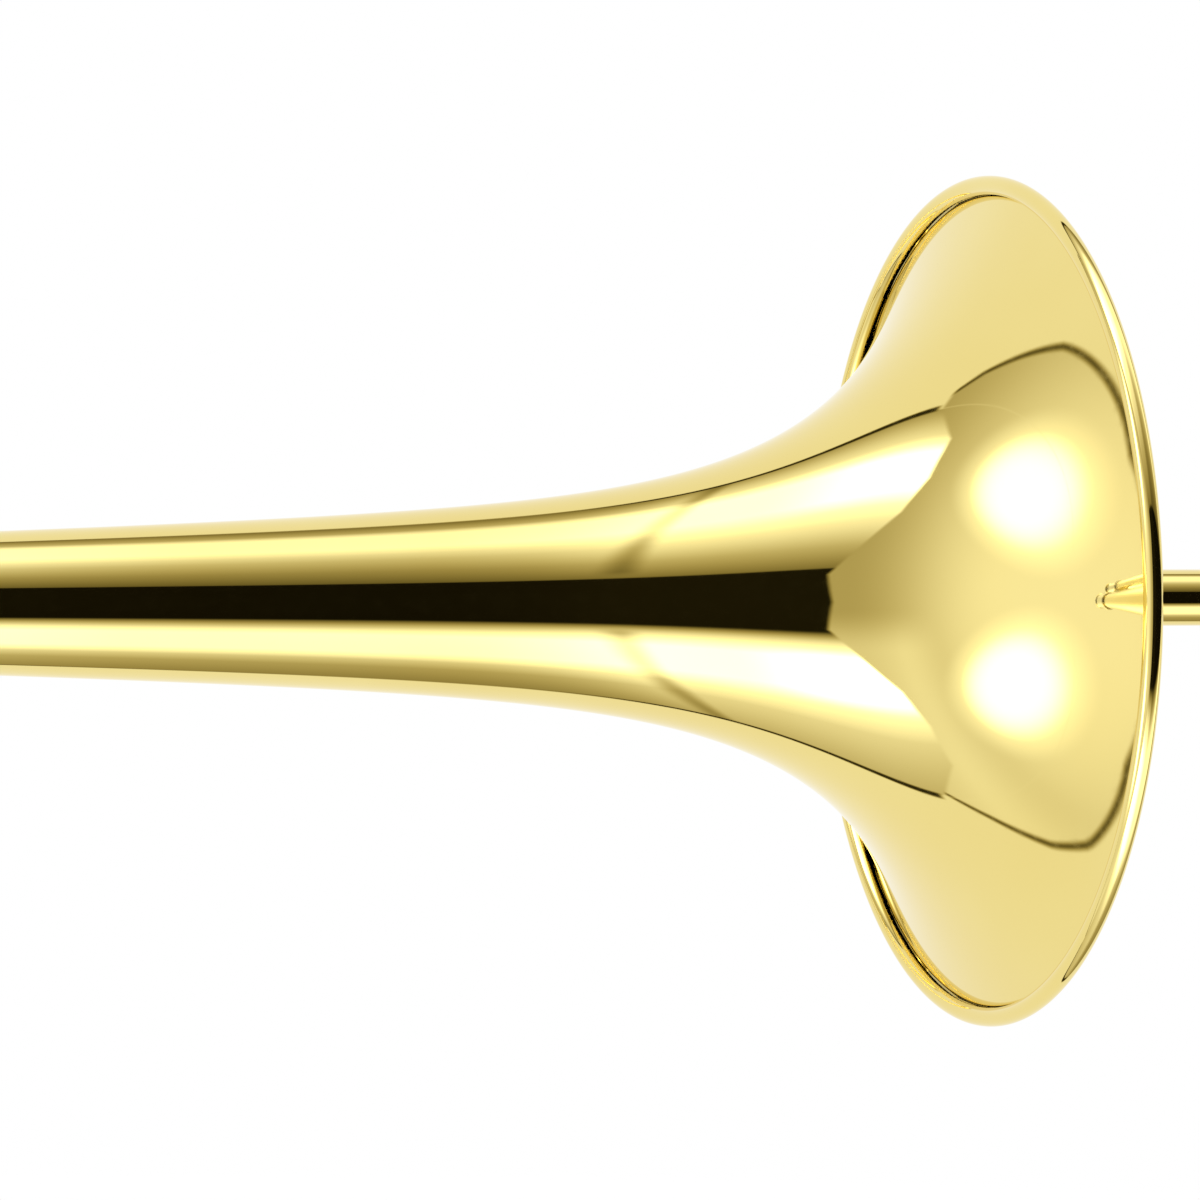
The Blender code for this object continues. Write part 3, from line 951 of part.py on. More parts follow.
def make_water_key(brass, nickel, steel, cork, outer_body, key_body, bow):
    spot = on_bow(NIPPLE_ANGLE)
    top = OUTER_RADIUS + NIPPLE_HEIGHT
    chimney = tube_outline(OUTER_RADIUS - NIPPLE_FOOT, top, NIPPLE_RADIUS, NIPPLE_BORE)
    nipple = turn("water_key_nipple", chimney, nickel, outer_body, base=spot, axis="Z")
    cut(nipple, bow_cutter("nipple_seat"))
    drain = rod_outline(DRAIN_START, top, DRAIN_RADIUS)
    cut(bow, turn("drain_hole", drain, base=spot, axis="Z", sides=SMALL_SIDES))

    pivot = on_bow(KEY_PIVOT_ANGLE)
    along = (spot - pivot).normalized()
    across = Z_AXIS.cross(along)
    height = top + KEY_PIVOT_RISE
    key_body.matrix_basis = Matrix.Translation(pivot + Z_AXIS * height)

    def slab(name, low, high, finish=None, carrier=None):
        """A box in the key's own directions: along it, across it and up, from the pivot."""
        loops = []
        for a in (low[0], high[0]):
            corners = ((low[1], low[2]), (high[1], low[2]), (high[1], high[2]), (low[1], high[2]))
            loops.append([pivot + along * a + across * b + Z_AXIS * c for b, c in corners])
        return loft(name, loops, finish, carrier)

    def crossbar(name, low, high, radius, finish=None, carrier=None):
        start, end = (pivot + Z_AXIS * height + across * w for w in (low, high))
        return pipe(name, [start, end], radius, None, finish, carrier, sides=SMALL_SIDES)

    inner, outer, reach = KEY_SADDLE_INSIDE, KEY_SADDLE_INSIDE + KEY_SADDLE_CHEEK, KEY_SADDLE_HALF
    saddle_low, saddle_high = (-reach, -outer, KEY_SADDLE_FOOT), (reach, outer, height + KEY_SADDLE_TOP)
    saddle = slab("water_key_saddle", saddle_low, saddle_high, nickel, outer_body)
    slot_low = (-CUT_REACH, -inner, OUTER_RADIUS + KEY_SADDLE_FLOOR)
    cut(saddle, bow_cutter("saddle_bow_seat"))
    cut(saddle, slab("saddle_slot", slot_low, (CUT_REACH, inner, height + CUT_REACH)))
    cut(saddle, crossbar("saddle_hole", -CUT_REACH, CUT_REACH, KEY_PIN_RADIUS + GAP))
    pin_end = outer + KEY_PIN_END
    crossbar("water_key_pin", -pin_end, pin_end, KEY_PIN_RADIUS, steel, outer_body)

    barrel_half = inner - TURN_GAP
    half, nose = KEY_ARM_SHARE * barrel_half, (spot - pivot).length - KEY_NOSE
    lift = height + KEY_LIFT
    cup_foot, arm_top = lift - KEY_CUP_DROP, lift + KEY_THICKNESS
    arm = slab("water_key", (-KEY_TAIL, -half, lift), (nose, half, arm_top), brass, key_body)
    cup = rod_outline(cup_foot, lift + KEY_CUP_HEIGHT, NIPPLE_RADIUS + KEY_CUP_LIP)
    join(arm, turn("key_cup", cup, base=spot, axis="Z", sides=SMALL_SIDES))
    plate = rod_outline(lift - KEY_PADDLE_DROP, lift + 0.9 * KEY_THICKNESS, KEY_PADDLE_RADIUS)
    plate_spot = pivot - along * KEY_PADDLE_X
    join(arm, turn("key_paddle", plate, base=plate_spot, axis="Z", sides=SMALL_SIDES))
    join(arm, crossbar("key_barrel", -barrel_half, barrel_half, KEY_BARREL_RADIUS))
    cut(arm, crossbar("key_hole", -CUT_REACH, CUT_REACH, KEY_PIN_RADIUS + TURN_GAP))
    pad = rod_outline(top + GAP, cup_foot - GAP, NIPPLE_RADIUS)
    turn("water_key_cork", pad, cork, key_body, base=spot, axis="Z")


def shank_radius(x):
    return SHANK_TIP_RADIUS + SHANK_TAPER * (-CUP_RECEIVER_LENGTH + SHANK_DEPTH - x)


def make_mouthpiece_side(brass, nickel, silver, inner_body, cup_body):
    axis = (0, SLIDE_SPAN, 0)
    mouth, tip = -CUP_RECEIVER_LENGTH, -CUP_RECEIVER_LENGTH + SHANK_DEPTH
    body, hole, nose = CUP_RECEIVER_RADIUS, INNER_RADIUS + GAP, BARREL_RADIUS - BARREL_NOSE_FALL
    ring, ring_end = body + FERRULE_RISE, mouth + RECEIVER_RING_LENGTH
    step, front, tube_seat = tip + SHANK_ROOM, BARREL_START - GAP, INNER_START - GAP
    outline = [(mouth, shank_radius(mouth) + GAP), (mouth, ring), (ring_end, ring)]
    outline += [(ring_end + EDGE_RUN, body), (INNER_START - RECEIVER_NOSE, body)]
    outline += [(BARREL_START - RECEIVER_NOSE, nose), (front, nose), (front, hole), (tube_seat, hole)]
    outline += [(tube_seat, INNER_BORE), (step, INNER_BORE), (step, shank_radius(tip) + GAP)]
    turn("mouthpiece_receiver", outline, nickel, inner_body, base=axis, sides=RING_SIDES)
    lead = INNER_BORE - GAP
    start, end = step + LEADPIPE_ROOM, step + LEADPIPE_LENGTH
    narrow, wide = lead - 2 * LEADPIPE_WALL, lead - LEADPIPE_WALL
    venturi = [(start, narrow), (start, lead), (end, lead), (end, wide)]
    turn("leadpipe", venturi, brass, inner_body, base=axis, sides=RING_SIDES)

    rim = tip - MOUTHPIECE_LENGTH
    throat = rim + CUP_DEPTH
    waist = throat + WAIST_SETBACK
    taper = waist + WAIST_END
    outline = [(rim + BITE_EASE, CUP_INNER_RADIUS), (rim, CUP_INNER_RADIUS + BITE_WIDTH)]
    outline += [(rim + back, CUP_OUTER_RADIUS - fall) for back, fall in CUP_PROFILE]
    outline += [(waist + back, radius) for back, radius in WAIST_PROFILE]
    outline += [(taper, shank_radius(taper)), (tip, SHANK_TIP_RADIUS), (tip, BACKBORE_RADIUS)]
    outline += [(throat + THROAT_LENGTH, THROAT_RADIUS), (throat, THROAT_RADIUS)]
    outline += [(rim + CUP_DEPTH * depth, CUP_INNER_RADIUS * share) for depth, share in CUP_BOWL]
    turn("mouthpiece", outline, silver, cup_body, base=axis, sides=RING_SIDES)


def main():
    clear_scene()
    brass = make_material("lacquered_brass", (0.83, 0.60, 0.20), 0.08, 1.0)
    nickel = make_material("nickel_silver", (0.74, 0.72, 0.66), 0.12, 1.0)
    steel = make_material("chrome_steel", (0.72, 0.73, 0.75), 0.10, 1.0)
    silver = make_material("silver_plate", (0.90, 0.89, 0.86), 0.08, 1.0)
    cork = make_material("cork", (0.62, 0.43, 0.26), 0.85, 0.0)
    rubber = make_material("black_rubber", (0.03, 0.03, 0.03), 0.60, 0.0)

    at_origin = (0, 0, 0)
    rotor_body = make_carrier("rotor_axis", (VALVE_X, VALVE_Y, 0))
    link_body = make_carrier("link_axis", (PIN_X, PIN_Y, LINK_Z))
    lever_body = make_carrier("lever_axis", (LEVER_X, LEVER_Y, LEVER_Z), LEVER_TILT)
    main_body = make_carrier("main_slide_axis", (BOW_X, 0, 0))
    f_body = make_carrier("f_slide_axis", (F_BOW_X, VALVE_Y, F_HEIGHT))
    inner_body = make_carrier("swivel_axis", at_origin)
    nut_body = make_carrier("nut_axis", at_origin)
    ring_body = make_carrier("lock_ring_axis", (LOCK_RING_START, 0, 0))
    outer_body = make_carrier("hand_slide_axis", (OUTER_START, 0, 0))
    key_body = make_carrier("water_key_axis", at_origin)
    cup_body = make_carrier("mouthpiece_axis", (-CUP_RECEIVER_LENGTH, SLIDE_SPAN, 0))

    make_bell_section(brass, nickel, steel)
    make_valve(brass, nickel, cork, rotor_body)
    make_link(steel, link_body)
    make_lever(brass, steel, lever_body)
    make_f_loop(brass, nickel)
    make_tuning_slides(brass, nickel, main_body, f_body)
    make_inner_slide(nickel, steel, cork, inner_body, nut_body, ring_body)
    make_outer_slide(brass, nickel, rubber, steel, cork, outer_body, key_body)
    make_mouthpiece_side(brass, nickel, silver, inner_body, cup_body)


main()
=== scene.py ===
import json
import math

import bmesh
import bpy
from mathutils import Matrix, Vector

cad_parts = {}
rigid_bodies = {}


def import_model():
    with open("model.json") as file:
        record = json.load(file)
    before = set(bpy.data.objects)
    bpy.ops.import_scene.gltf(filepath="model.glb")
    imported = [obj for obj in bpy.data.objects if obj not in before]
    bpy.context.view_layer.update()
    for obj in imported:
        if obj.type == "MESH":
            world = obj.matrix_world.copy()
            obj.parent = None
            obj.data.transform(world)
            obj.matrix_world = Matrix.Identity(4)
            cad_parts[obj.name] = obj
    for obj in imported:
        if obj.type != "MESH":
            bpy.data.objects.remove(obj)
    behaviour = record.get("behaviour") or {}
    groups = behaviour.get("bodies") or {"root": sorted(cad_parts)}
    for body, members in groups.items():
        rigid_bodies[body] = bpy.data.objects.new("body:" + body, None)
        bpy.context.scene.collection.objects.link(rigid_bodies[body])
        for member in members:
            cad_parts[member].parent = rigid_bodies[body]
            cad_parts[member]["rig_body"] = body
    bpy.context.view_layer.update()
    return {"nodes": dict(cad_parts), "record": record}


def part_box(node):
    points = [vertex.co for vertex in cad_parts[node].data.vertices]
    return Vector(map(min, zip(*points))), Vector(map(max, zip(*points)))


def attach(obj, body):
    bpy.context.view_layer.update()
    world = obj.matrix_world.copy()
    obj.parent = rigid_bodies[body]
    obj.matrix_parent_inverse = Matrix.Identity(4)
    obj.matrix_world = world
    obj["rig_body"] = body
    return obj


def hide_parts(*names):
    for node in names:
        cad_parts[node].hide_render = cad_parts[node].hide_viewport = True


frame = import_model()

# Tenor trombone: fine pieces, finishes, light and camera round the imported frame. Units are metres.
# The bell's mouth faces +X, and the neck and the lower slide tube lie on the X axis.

SLOT_OF = {part["node"]: part["material_slot"] for part in frame["record"]["subparts"]}
X_AXIS, Y_AXIS, Z_AXIS = Vector((1, 0, 0)), Vector((0, 1, 0)), Vector((0, 0, 1))
DEGREE = math.radians(1)

# Clearances and walls, as in the part
GAP = 0.0003
TURN_GAP = 0.0005
TUBE_WALL = 0.0005
SLEEVE_WALL = 0.0007
FERRULE_RISE = 0.0012
FERRULE_LENGTH = 0.004
BOW_FERRULE = 0.015

# Bell
BELL_OFFSET = 0.130
BELL_MOUTH = 0.2715
BELL_LENGTH = 0.565
BELL_WALL = 0.0008
RIM_RADIUS = 0.10795
BEAD_RADIUS = 0.0024
BELL_TAIL_RADIUS = 0.0105
STEM_RISE = 0.0196
STEM_POWER = 1.74
FLARE_DEPTH = 0.0342
CURL_END = -95 * DEGREE

# Slide receiver and the joint to the hand slide
NECK_BORE = 0.00695
RECEIVER_LENGTH = 0.038
RECEIVER_RADIUS = 0.0104
THREAD_RADIUS = 0.0112
THREAD_PITCH = 0.001
THREAD_TURNS = 13
THREAD_DEPTH = 0.0005
TENON_LENGTH = 0.030
TENON_RADIUS = 0.0091
COLLAR_LENGTH = 0.0034

# Rotary valve and linkage
ROTOR_RADIUS = 0.017
CASING_WALL = 0.0037
PORT_WALL = 0.0007
SPINDLE_RADIUS = 0.003
ARM_RADIUS = 0.008
ARM_THICKNESS = 0.003
LEVER_ARM = 0.034
LEVER_DROP = 0.048
LEVER_WIDTH = 0.006
LEVER_THICKNESS = 0.0026
PADDLE_WIDTH = 0.022
PADDLE_REACH = 0.026
SADDLE_HALF = 0.0075
CHEEK = 0.002
LINK_ROD = 0.0011
LINK_PIN = 0.0012
LINK_EYE = 0.0018
LINK_PLAY = 0.0011
STOP_RADIUS = 0.012
STOP_SWING = 45 * DEGREE

# Braces
BRACE_RADIUS = 0.0034
BRACE_FLANGE = 0.0062
FRONT_BRACE_X = -0.024
REAR_BRACE_X = -0.262
COLLAR_RISE = 0.0014

# Tuning slides
MAIN_BOW_X = -0.385
LEG_GAP = 0.003
F_HEIGHT = 0.022
F_OUTER_Y = -0.096
F_RUN = 0.050
F_BRACE_X = -0.440
F_BOW_X = -0.500

# Hand slide
SLIDE_SPAN = 0.087
INNER_RADIUS = 0.0070
INNER_BORE = 0.0065
INNER_START = 0.008
STOCKING_RISE = 0.00015
STOCKING_LENGTH = 0.110
OUTER_RADIUS = 0.0079
OUTER_WALL = 0.00045
SLIDE_BOW_X = 0.668
SLIDE_SOCKET = 0.016
BARREL_RADIUS = 0.0117
BARREL_WALL = 0.0011
BARREL_FLOOR = 0.006
TOP_SLEEVE_LENGTH = 0.041
TOP_SLEEVE_RADIUS = 0.0096
GRIP_BRACE_X = 0.030
GRIP_RADIUS = 0.0048
OUTER_BRACE_X = 0.082
LOCK_RING_WALL = 0.0012
LOCK_TRAVEL = 35 * DEGREE
STUD_X = 0.054
STUD_RADIUS = 0.0014
NIPPLE_ANGLE = 64 * DEGREE
KEY_PIVOT_ANGLE = 46 * DEGREE
NIPPLE_RADIUS = 0.0032
NIPPLE_HEIGHT = 0.0034
KEY_PIN_RADIUS = 0.0011

# Mouthpiece and its receiver
CUP_RECEIVER_RADIUS = 0.0089
SHANK_TIP = -0.010
SHANK_TIP_RADIUS = 0.00635
SHANK_TAPER = 0.025
CUP_INNER_RADIUS = 0.0129
CUP_DEPTH = 0.024
THROAT_RADIUS = 0.0034

# Places worked out from the frame
CASING_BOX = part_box("valve_casing")
VALVE = (CASING_BOX[0] + CASING_BOX[1]) / 2
PORT_END = (CASING_BOX[1].x - CASING_BOX[0].x) / 2
PORT_SEAT = ROTOR_RADIUS + GAP + 0.3 * CASING_WALL
CASING_HALF = (CASING_BOX[1].z - CASING_BOX[0].z) / 2
TUBE_RADIUS = NECK_BORE + TUBE_WALL
SLEEVE_BORE = TUBE_RADIUS + GAP
LINK_PIN_SPOT = VALVE + Vector((math.sin(STOP_SWING), math.cos(STOP_SWING), 0)) * ARM_RADIUS
LEVER_Y = VALVE.y + ARM_RADIUS * (1 + math.cos(STOP_SWING)) / 2

# Fineness of the drawn surfaces
BELL_SIDES = 288
BELL_STEPS = 150
CURL_STEPS = 26
ROUND_SIDES = 96
PIPE_SIDES = 64
SMALL_SIDES = 32
STEPS_PER_RADIAN = 14
CORNER_STEPS = 3
CORNER_RADIUS = 0.0003
SHARP_TURN = 25 * DEGREE

# Camera, from the photograph: a long lens, square to its view of the bell
LENS_MM = 177
SENSOR_MM = 36
VIEW_TURN = 19.3 * DEGREE
VIEW_DROP = 0.006
VIEW_DISTANCE = 1.5
RIM_CENTRE_X = 0.270
AIM_LEFT = 0.0964
AIM_UP = 0.0003

WARM_SHADE = (1.0, 0.84, 0.36)  # tint of the studio's darker parts
SKY_LEVEL = 0.6  # the world's plain light on surfaces that don't mirror it
FLOOR_HEIGHT = -0.30
FLOOR_HALF = 1.5


class Field:
    """A number in a node tree. Arithmetic on it adds Math nodes."""

    def __init__(self, tree, socket):
        self.tree, self.socket = tree, socket

    def calc(self, operation, *others):
        node = self.tree.nodes.new("ShaderNodeMath")
        node.operation = operation
        for k, item in enumerate((self, *others)):
            plug(self.tree, item, node.inputs[k])
        return Field(self.tree, node.outputs[0])

    def __add__(self, other):
        return self.calc("ADD", other)

    def __sub__(self, other):
        return self.calc("SUBTRACT", other)

    def __mul__(self, other):
        return self.calc("MULTIPLY", other)

    def ease(self, start, end, low=0.0, high=1.0):
        """Goes smoothly from low to high as this value goes from start to end."""
        node = self.tree.nodes.new("ShaderNodeMapRange")
        node.interpolation_type = "SMOOTHSTEP"
        for name, item in (("Value", self), ("From Min", start), ("From Max", end), ("To Min", low), ("To Max", high)):
            plug(self.tree, item, node.inputs[name])
        return Field(self.tree, node.outputs["Result"])

    def graph(self, stops):
        """A line through given stops of (this value, result)."""
        first, last = stops[0][0], stops[-1][0]
        peak = max(result for _, result in stops)
        node = self.tree.nodes.new("ShaderNodeValToRGB")
        marks = node.color_ramp.elements
        while len(marks) < len(stops):
            marks.new(0.5)
        for mark, (at, result) in zip(marks, stops):
            mark.position = (at - first) / (last - first)
            mark.color = (result / peak, result / peak, result / peak, 1)
        share = (self - first) * (1 / (last - first))
        plug(self.tree, share, node.inputs["Fac"])
        return Field(self.tree, node.outputs["Color"]) * peak

    def blend(self, low, high):
        """Low where this value is 0, and high where it is 1."""
        return (Field.of(self.tree, high) - low) * self + low

    @staticmethod
    def of(tree, item):
        if isinstance(item, Field):
            return item
        node = tree.nodes.new("ShaderNodeValue")
        node.outputs[0].default_value = item
        return Field(tree, node.outputs[0])


def plug(tree, item, socket):
    if isinstance(item, Field):
        tree.links.new(item.socket, socket)
    else:
        socket.default_value = item


# Light

def studio_light(tree):
    """Brightness of the studio by direction: a dark gap in front, white panels over and under it, paper behind."""
    ray = tree.nodes.new("ShaderNodeTexCoord").outputs["Generated"]
    split = tree.nodes.new("ShaderNodeSeparateXYZ")
    tree.links.new(ray, split.inputs[0])
    x, y, z = (Field(tree, split.outputs[k]) for k in range(3))
    roll = z.calc("ARCTAN2", y * -1) * (1 / DEGREE)
    pitch = x.calc("ARCSINE") * (1 / DEGREE)
    azimuth = x.calc("ARCTAN2", y * -1) * (1 / DEGREE)
    tilt = z.calc("ARCSINE") * (1 / DEGREE)
    away = roll.calc("ABSOLUTE")

    panels = roll.graph([
        (-114, 0.65), (-90, 0.95), (-78, 1.5), (-66, 3.3), (-42, 3.3), (-32, 1.4), (-24, 0.30), (-22, 0.012),
        (24, 0.012), (25, 0.26), (40, 0.62), (48, 0.90), (56, 1.2), (64, 1.7), (74, 2.8), (94, 2.8), (102, 1.1),
        (114, 0.45),
    ])
    panels = panels * pitch.ease(2, 14, 1.0, 0.5)
    panels = panels + (panels - 1.9).calc("MAXIMUM", 0.0) * pitch.ease(-6, -26, 0.0, 1.3)
    fold =pitch.ease(1.5, 3.5) * pitch.ease(3.5, 5.5, 1.0, 0.0) * away.ease(25, 32)
    panels = panels * (fold * -0.45 + 1)

    wall = pitch.ease(-30, -75, 0.50, 1.12) + roll.ease(-4, -36) * pitch.ease(-58, -44, 0.0, 0.35)
    for towards in ((-0.927, 0.0, 0.375), (-0.940, -0.106, -0.325)):
        near = x * towards[0] + y * towards[1] + z * towards[2]
        wall = wall + near.ease(math.cos(19 * DEGREE), math.cos(2 * DEGREE), 0.0, 0.6)
        wall = wall + near.ease(math.cos(14 * DEGREE), math.cos(5 * DEGREE), 0.0, 2.2)
    border = tilt.graph([
        (-90, 118.0), (-40, 118.6), (-30, 119.5), (-25, 118.4), (-16, 110.6), (0, 105.5), (14, 109.8), (24, 118.0),
        (28, 121.3), (40, 125.0), (90, 125.0),
    ])
    past = azimuth + border
    sides = past.ease(-0.6, 0.6).blend(1.0, wall)
    sides = sides * (past.ease(-1.4, 0.0) * past.ease(0.0, 1.4, 1.0, 0.0) * -0.85 + 1)

    edge = away.graph([(0, 28), (20, 26.5), (30, 30), (45, 35.5), (60, 41), (80, 44), (100, 43), (114, 35)])
    over = (pitch + edge).ease(-0.8, 0.8)
    within = away.ease(113.5, 114.5, 1.0, 0.0)
    seam = away.ease(113.0, 114.0) * away.ease(115.0, 116.0, 1.0, 0.0) * pitch.ease(-35, -33)
    ahead = within.blend(1.0, panels)
    shown = over.blend(within.blend(1.0, sides), ahead)
    shown = (away.ease(113.5, 114.5)).blend(shown, over.blend(sides, 1.0))
    return shown * (seam * pitch.ease(8, 14, -0.97, -0.5) + 1)


def make_world():
    world = bpy.data.worlds.new("studio")
    bpy.context.scene.world = world
    world.use_nodes = True
    tree = world.node_tree
    tree.nodes.clear()
    studio = tree.nodes.new("ShaderNodeBackground")
    bright = studio_light(tree)
    plug(tree, tint(tree, bright.ease(0.1, 1.15), WARM_SHADE, (1, 1, 1)), studio.inputs["Color"])
    plug(tree, bright, studio.inputs["Strength"])
    paper = tree.nodes.new("ShaderNodeBackground")
    paper.inputs["Color"].default_value = (1, 1, 1, 1)
    path = tree.nodes.new("ShaderNodeLightPath")
    plug(tree, Field(tree, path.outputs["Is Diffuse Ray"]).blend(1.0, SKY_LEVEL), paper.inputs["Strength"])
    mirrored = Field(tree, path.outputs["Is Glossy Ray"])
    mix = tree.nodes.new("ShaderNodeMixShader")
    plug(tree, mirrored * -1 + 1, mix.inputs["Fac"])
    tree.links.new(studio.outputs[0], mix.inputs[1])
    tree.links.new(paper.outputs[0], mix.inputs[2])
    output = tree.nodes.new("ShaderNodeOutputWorld")
    tree.links.new(mix.outputs[0], output.inputs["Surface"])


def make_stage():
    """A pale floor that fades into the white background at its edge, and one soft lamp over it."""
    half = FLOOR_HALF
    mesh = bpy.data.meshes.new("floor")
    mesh.from_pydata([(-half, -half, 0), (half, -half, 0), (half, half, 0), (-half, half, 0)], [], [(0, 1, 2, 3)])
    floor = bpy.data.objects.new("floor", mesh)
    floor.location.z = FLOOR_HEIGHT
    bpy.context.scene.collection.objects.link(floor)
    floor.visible_glossy = False
    paper = bpy.data.materials.new("floor_paper")
    paper.use_nodes = True
    tree = paper.node_tree
    shader = tree.nodes["Principled BSDF"]
    shader.inputs["Base Color"].default_value = (0.93, 0.93, 0.93, 1)
    shader.inputs["Roughness"].default_value = 0.9
    shader.inputs["Specular IOR Level"].default_value = 0.1
    place = tree.nodes.new("ShaderNodeTexCoord")
    length = tree.nodes.new("ShaderNodeVectorMath")
    length.operation = "LENGTH"
    tree.links.new(place.outputs["Object"], length.inputs[0])
    fade = Field(tree, length.outputs["Value"]).ease(0.55 * half, half)
    clear = tree.nodes.new("ShaderNodeBsdfTransparent")
    mix = tree.nodes.new("ShaderNodeMixShader")
    plug(tree, fade, mix.inputs["Fac"])
    tree.links.new(shader.outputs[0], mix.inputs[1])
    tree.links.new(clear.outputs[0], mix.inputs[2])
    tree.links.new(mix.outputs[0], tree.nodes["Material Output"].inputs["Surface"])
    mesh.materials.append(paper)

    lamp = bpy.data.lights.new("soft_box", "AREA")
    lamp.shape = "DISK"
    lamp.size = 0.9
    lamp.energy = 50
    box = bpy.data.objects.new("soft_box", lamp)
    box.location = (0.1, -0.5, 3.0)
    box.visible_glossy = False
    box.visible_camera = False
    bpy.context.scene.collection.objects.link(box)


def make_camera():
    ahead = Vector((math.sin(VIEW_TURN), math.cos(VIEW_TURN), -VIEW_DROP)).normalized()
    right = ahead.cross(Z_AXIS).normalized()
    up = right.cross(ahead)
    lens = bpy.data.cameras.new("camera")
    lens.lens = LENS_MM
    lens.sensor_width = SENSOR_MM
    camera = bpy.data.objects.new("camera", lens)
    rim_centre = Vector((RIM_CENTRE_X, -BELL_OFFSET, 0))
    camera.location = rim_centre - right * AIM_LEFT + up * AIM_UP - ahead * VIEW_DISTANCE
    camera.rotation_mode = "QUATERNION"
    camera.rotation_quaternion = ahead.to_track_quat("-Z", "Y")
    bpy.context.scene.collection.objects.link(camera)
    bpy.context.scene.camera = camera


# Finishes

def noise_field(tree, scale, detail=3.0, stretch=(1, 1, 1)):
    """Noise in the object's own space, from 0 to 1."""
    place = tree.nodes.new("ShaderNodeTexCoord")
    mapping = tree.nodes.new("ShaderNodeMapping")
    mapping.inputs["Scale"].default_value = stretch
    tree.links.new(place.outputs["Object"], mapping.inputs["Vector"])
    noise = tree.nodes.new("ShaderNodeTexNoise")
    noise.inputs["Scale"].default_value = scale
    noise.inputs["Detail"].default_value = detail
    tree.links.new(mapping.outputs[0], noise.inputs["Vector"])
    return Field(tree, noise.outputs["Fac"])


def tint(tree, share, first, second):
    """A colour between two, by share."""
    mix = tree.nodes.new("ShaderNodeMix")
    mix.data_type = "RGBA"
    plug(tree, share, mix.inputs["Factor"])
    mix.inputs["A"].default_value = (*first, 1)
    mix.inputs["B"].default_value = (*second, 1)
    return Field(tree, mix.outputs["Result"])


def bump(tree, height, distance, shader, strength=1.0):
    node = tree.nodes.new("ShaderNodeBump")
    node.inputs["Strength"].default_value = strength
    node.inputs["Distance"].default_value = distance
    plug(tree, height, node.inputs["Height"])
    tree.links.new(node.outputs[0], shader.inputs["Normal"])


def metal(name, pale, deep, roughness, waviness, coat=0.0, drawn=False):
    """A polished metal: its tint drifts a little, and fine hazing makes its gloss uneven."""
    made = bpy.data.materials.new(name)
    made.use_nodes = True
    tree = made.node_tree
    shader = tree.nodes["Principled BSDF"]
    shader.inputs["Metallic"].default_value = 1.0
    shader.inputs["Coat Weight"].default_value = coat
    shader.inputs["Coat Roughness"].default_value = 0.02
    drift = noise_field(tree, 9)
    plug(tree, tint(tree, drift.ease(0.3, 0.7), pale, deep), shader.inputs["Base Color"])
    haze = noise_field(tree, 320, 4, (0.15, 1, 1) if drawn else (1, 1, 1))
    plug(tree, haze.ease(0.35, 0.8, roughness[0], roughness[1]), shader.inputs["Roughness"])
    swell = noise_field(tree, 26, 2)
    height = swell + haze * 0.03 if drawn else swell
    bump(tree, height, waviness, shader)
    return made


def cork_finish():
    made = bpy.data.materials.new("cork")
    made.use_nodes = True
    tree = made.node_tree
    shader = tree.nodes["Principled BSDF"]
    shader.inputs["Roughness"].default_value = 0.85
    grain = noise_field(tree, 900, 5)
    fleck = noise_field(tree, 380, 2)
    colour = tint(tree, (grain * 0.6 + fleck * 0.4).ease(0.38, 0.62), (0.20, 0.105, 0.05), (0.62, 0.42, 0.24))
    plug(tree, colour, shader.inputs["Base Color"])
    bump(tree, grain, 0.0003, shader)
    return made


def rubber_finish():
    made = bpy.data.materials.new("black_rubber")
    made.use_nodes = True
    tree = made.node_tree
    shader = tree.nodes["Principled BSDF"]
    wear = noise_field(tree, 160, 4)
    plug(tree, tint(tree, wear.ease(0.4, 0.75), (0.016, 0.016, 0.017), (0.05, 0.048, 0.046)), shader.inputs["Base Color"])
    plug(tree, wear.ease(0.3, 0.7, 0.42, 0.62), shader.inputs["Roughness"])
    bump(tree, noise_field(tree, 1400, 2), 0.0001, shader)
    return made


def make_finishes():
    return {
        "lacquered_brass": metal("lacquered_brass", (0.87, 0.735, 0.29), (0.84, 0.69, 0.245), (0.018, 0.05), 4e-6, 0.08),
        "nickel_silver": metal("nickel_silver", (0.71, 0.68, 0.60), (0.66, 0.63, 0.55), (0.07, 0.15), 4e-6, drawn=True),
        "chrome_steel": metal("chrome_steel", (0.70, 0.71, 0.73), (0.64, 0.655, 0.68), (0.03, 0.08), 2e-6, drawn=True),
        "silver_plate": metal("silver_plate", (0.86, 0.845, 0.81), (0.80, 0.775, 0.72), (0.02, 0.07), 3e-6),
        "cork": cork_finish(),
        "black_rubber": rubber_finish(),
    }


# Shapes

def soften(outline, corner=CORNER_RADIUS):
    """Rounds the sharp corners of a closed ring of (along, radius) points."""
    made = []
    for k, (a, r) in enumerate(outline):
        here = Vector((a, r))
        into = here - Vector(outline[k - 1])
        out = Vector(outline[(k + 1) % len(outline)]) - here
        if r == 0 or into.angle(out, 0) < SHARP_TURN:
            made.append((a, r))
            continue
        trim = min(corner, 0.4 * into.length, 0.4 * out.length)
        start, end = here - into.normalized() * trim, here + out.normalized() * trim
        for j in range(CORNER_STEPS + 1):
            t = j / CORNER_STEPS
            spot = start * (1 - t) ** 2 + here * 2 * t * (1 - t) + end * t * t
            made.append((spot.x, spot.y))
    return made


def tube_outline(start, end, radius, bore):
    return [(start, bore), (start, radius), (end, radius), (end, bore)]


def rod_outline(start, end, radius):
    return [(start, 0), (start, radius), (end, radius), (end, 0)]


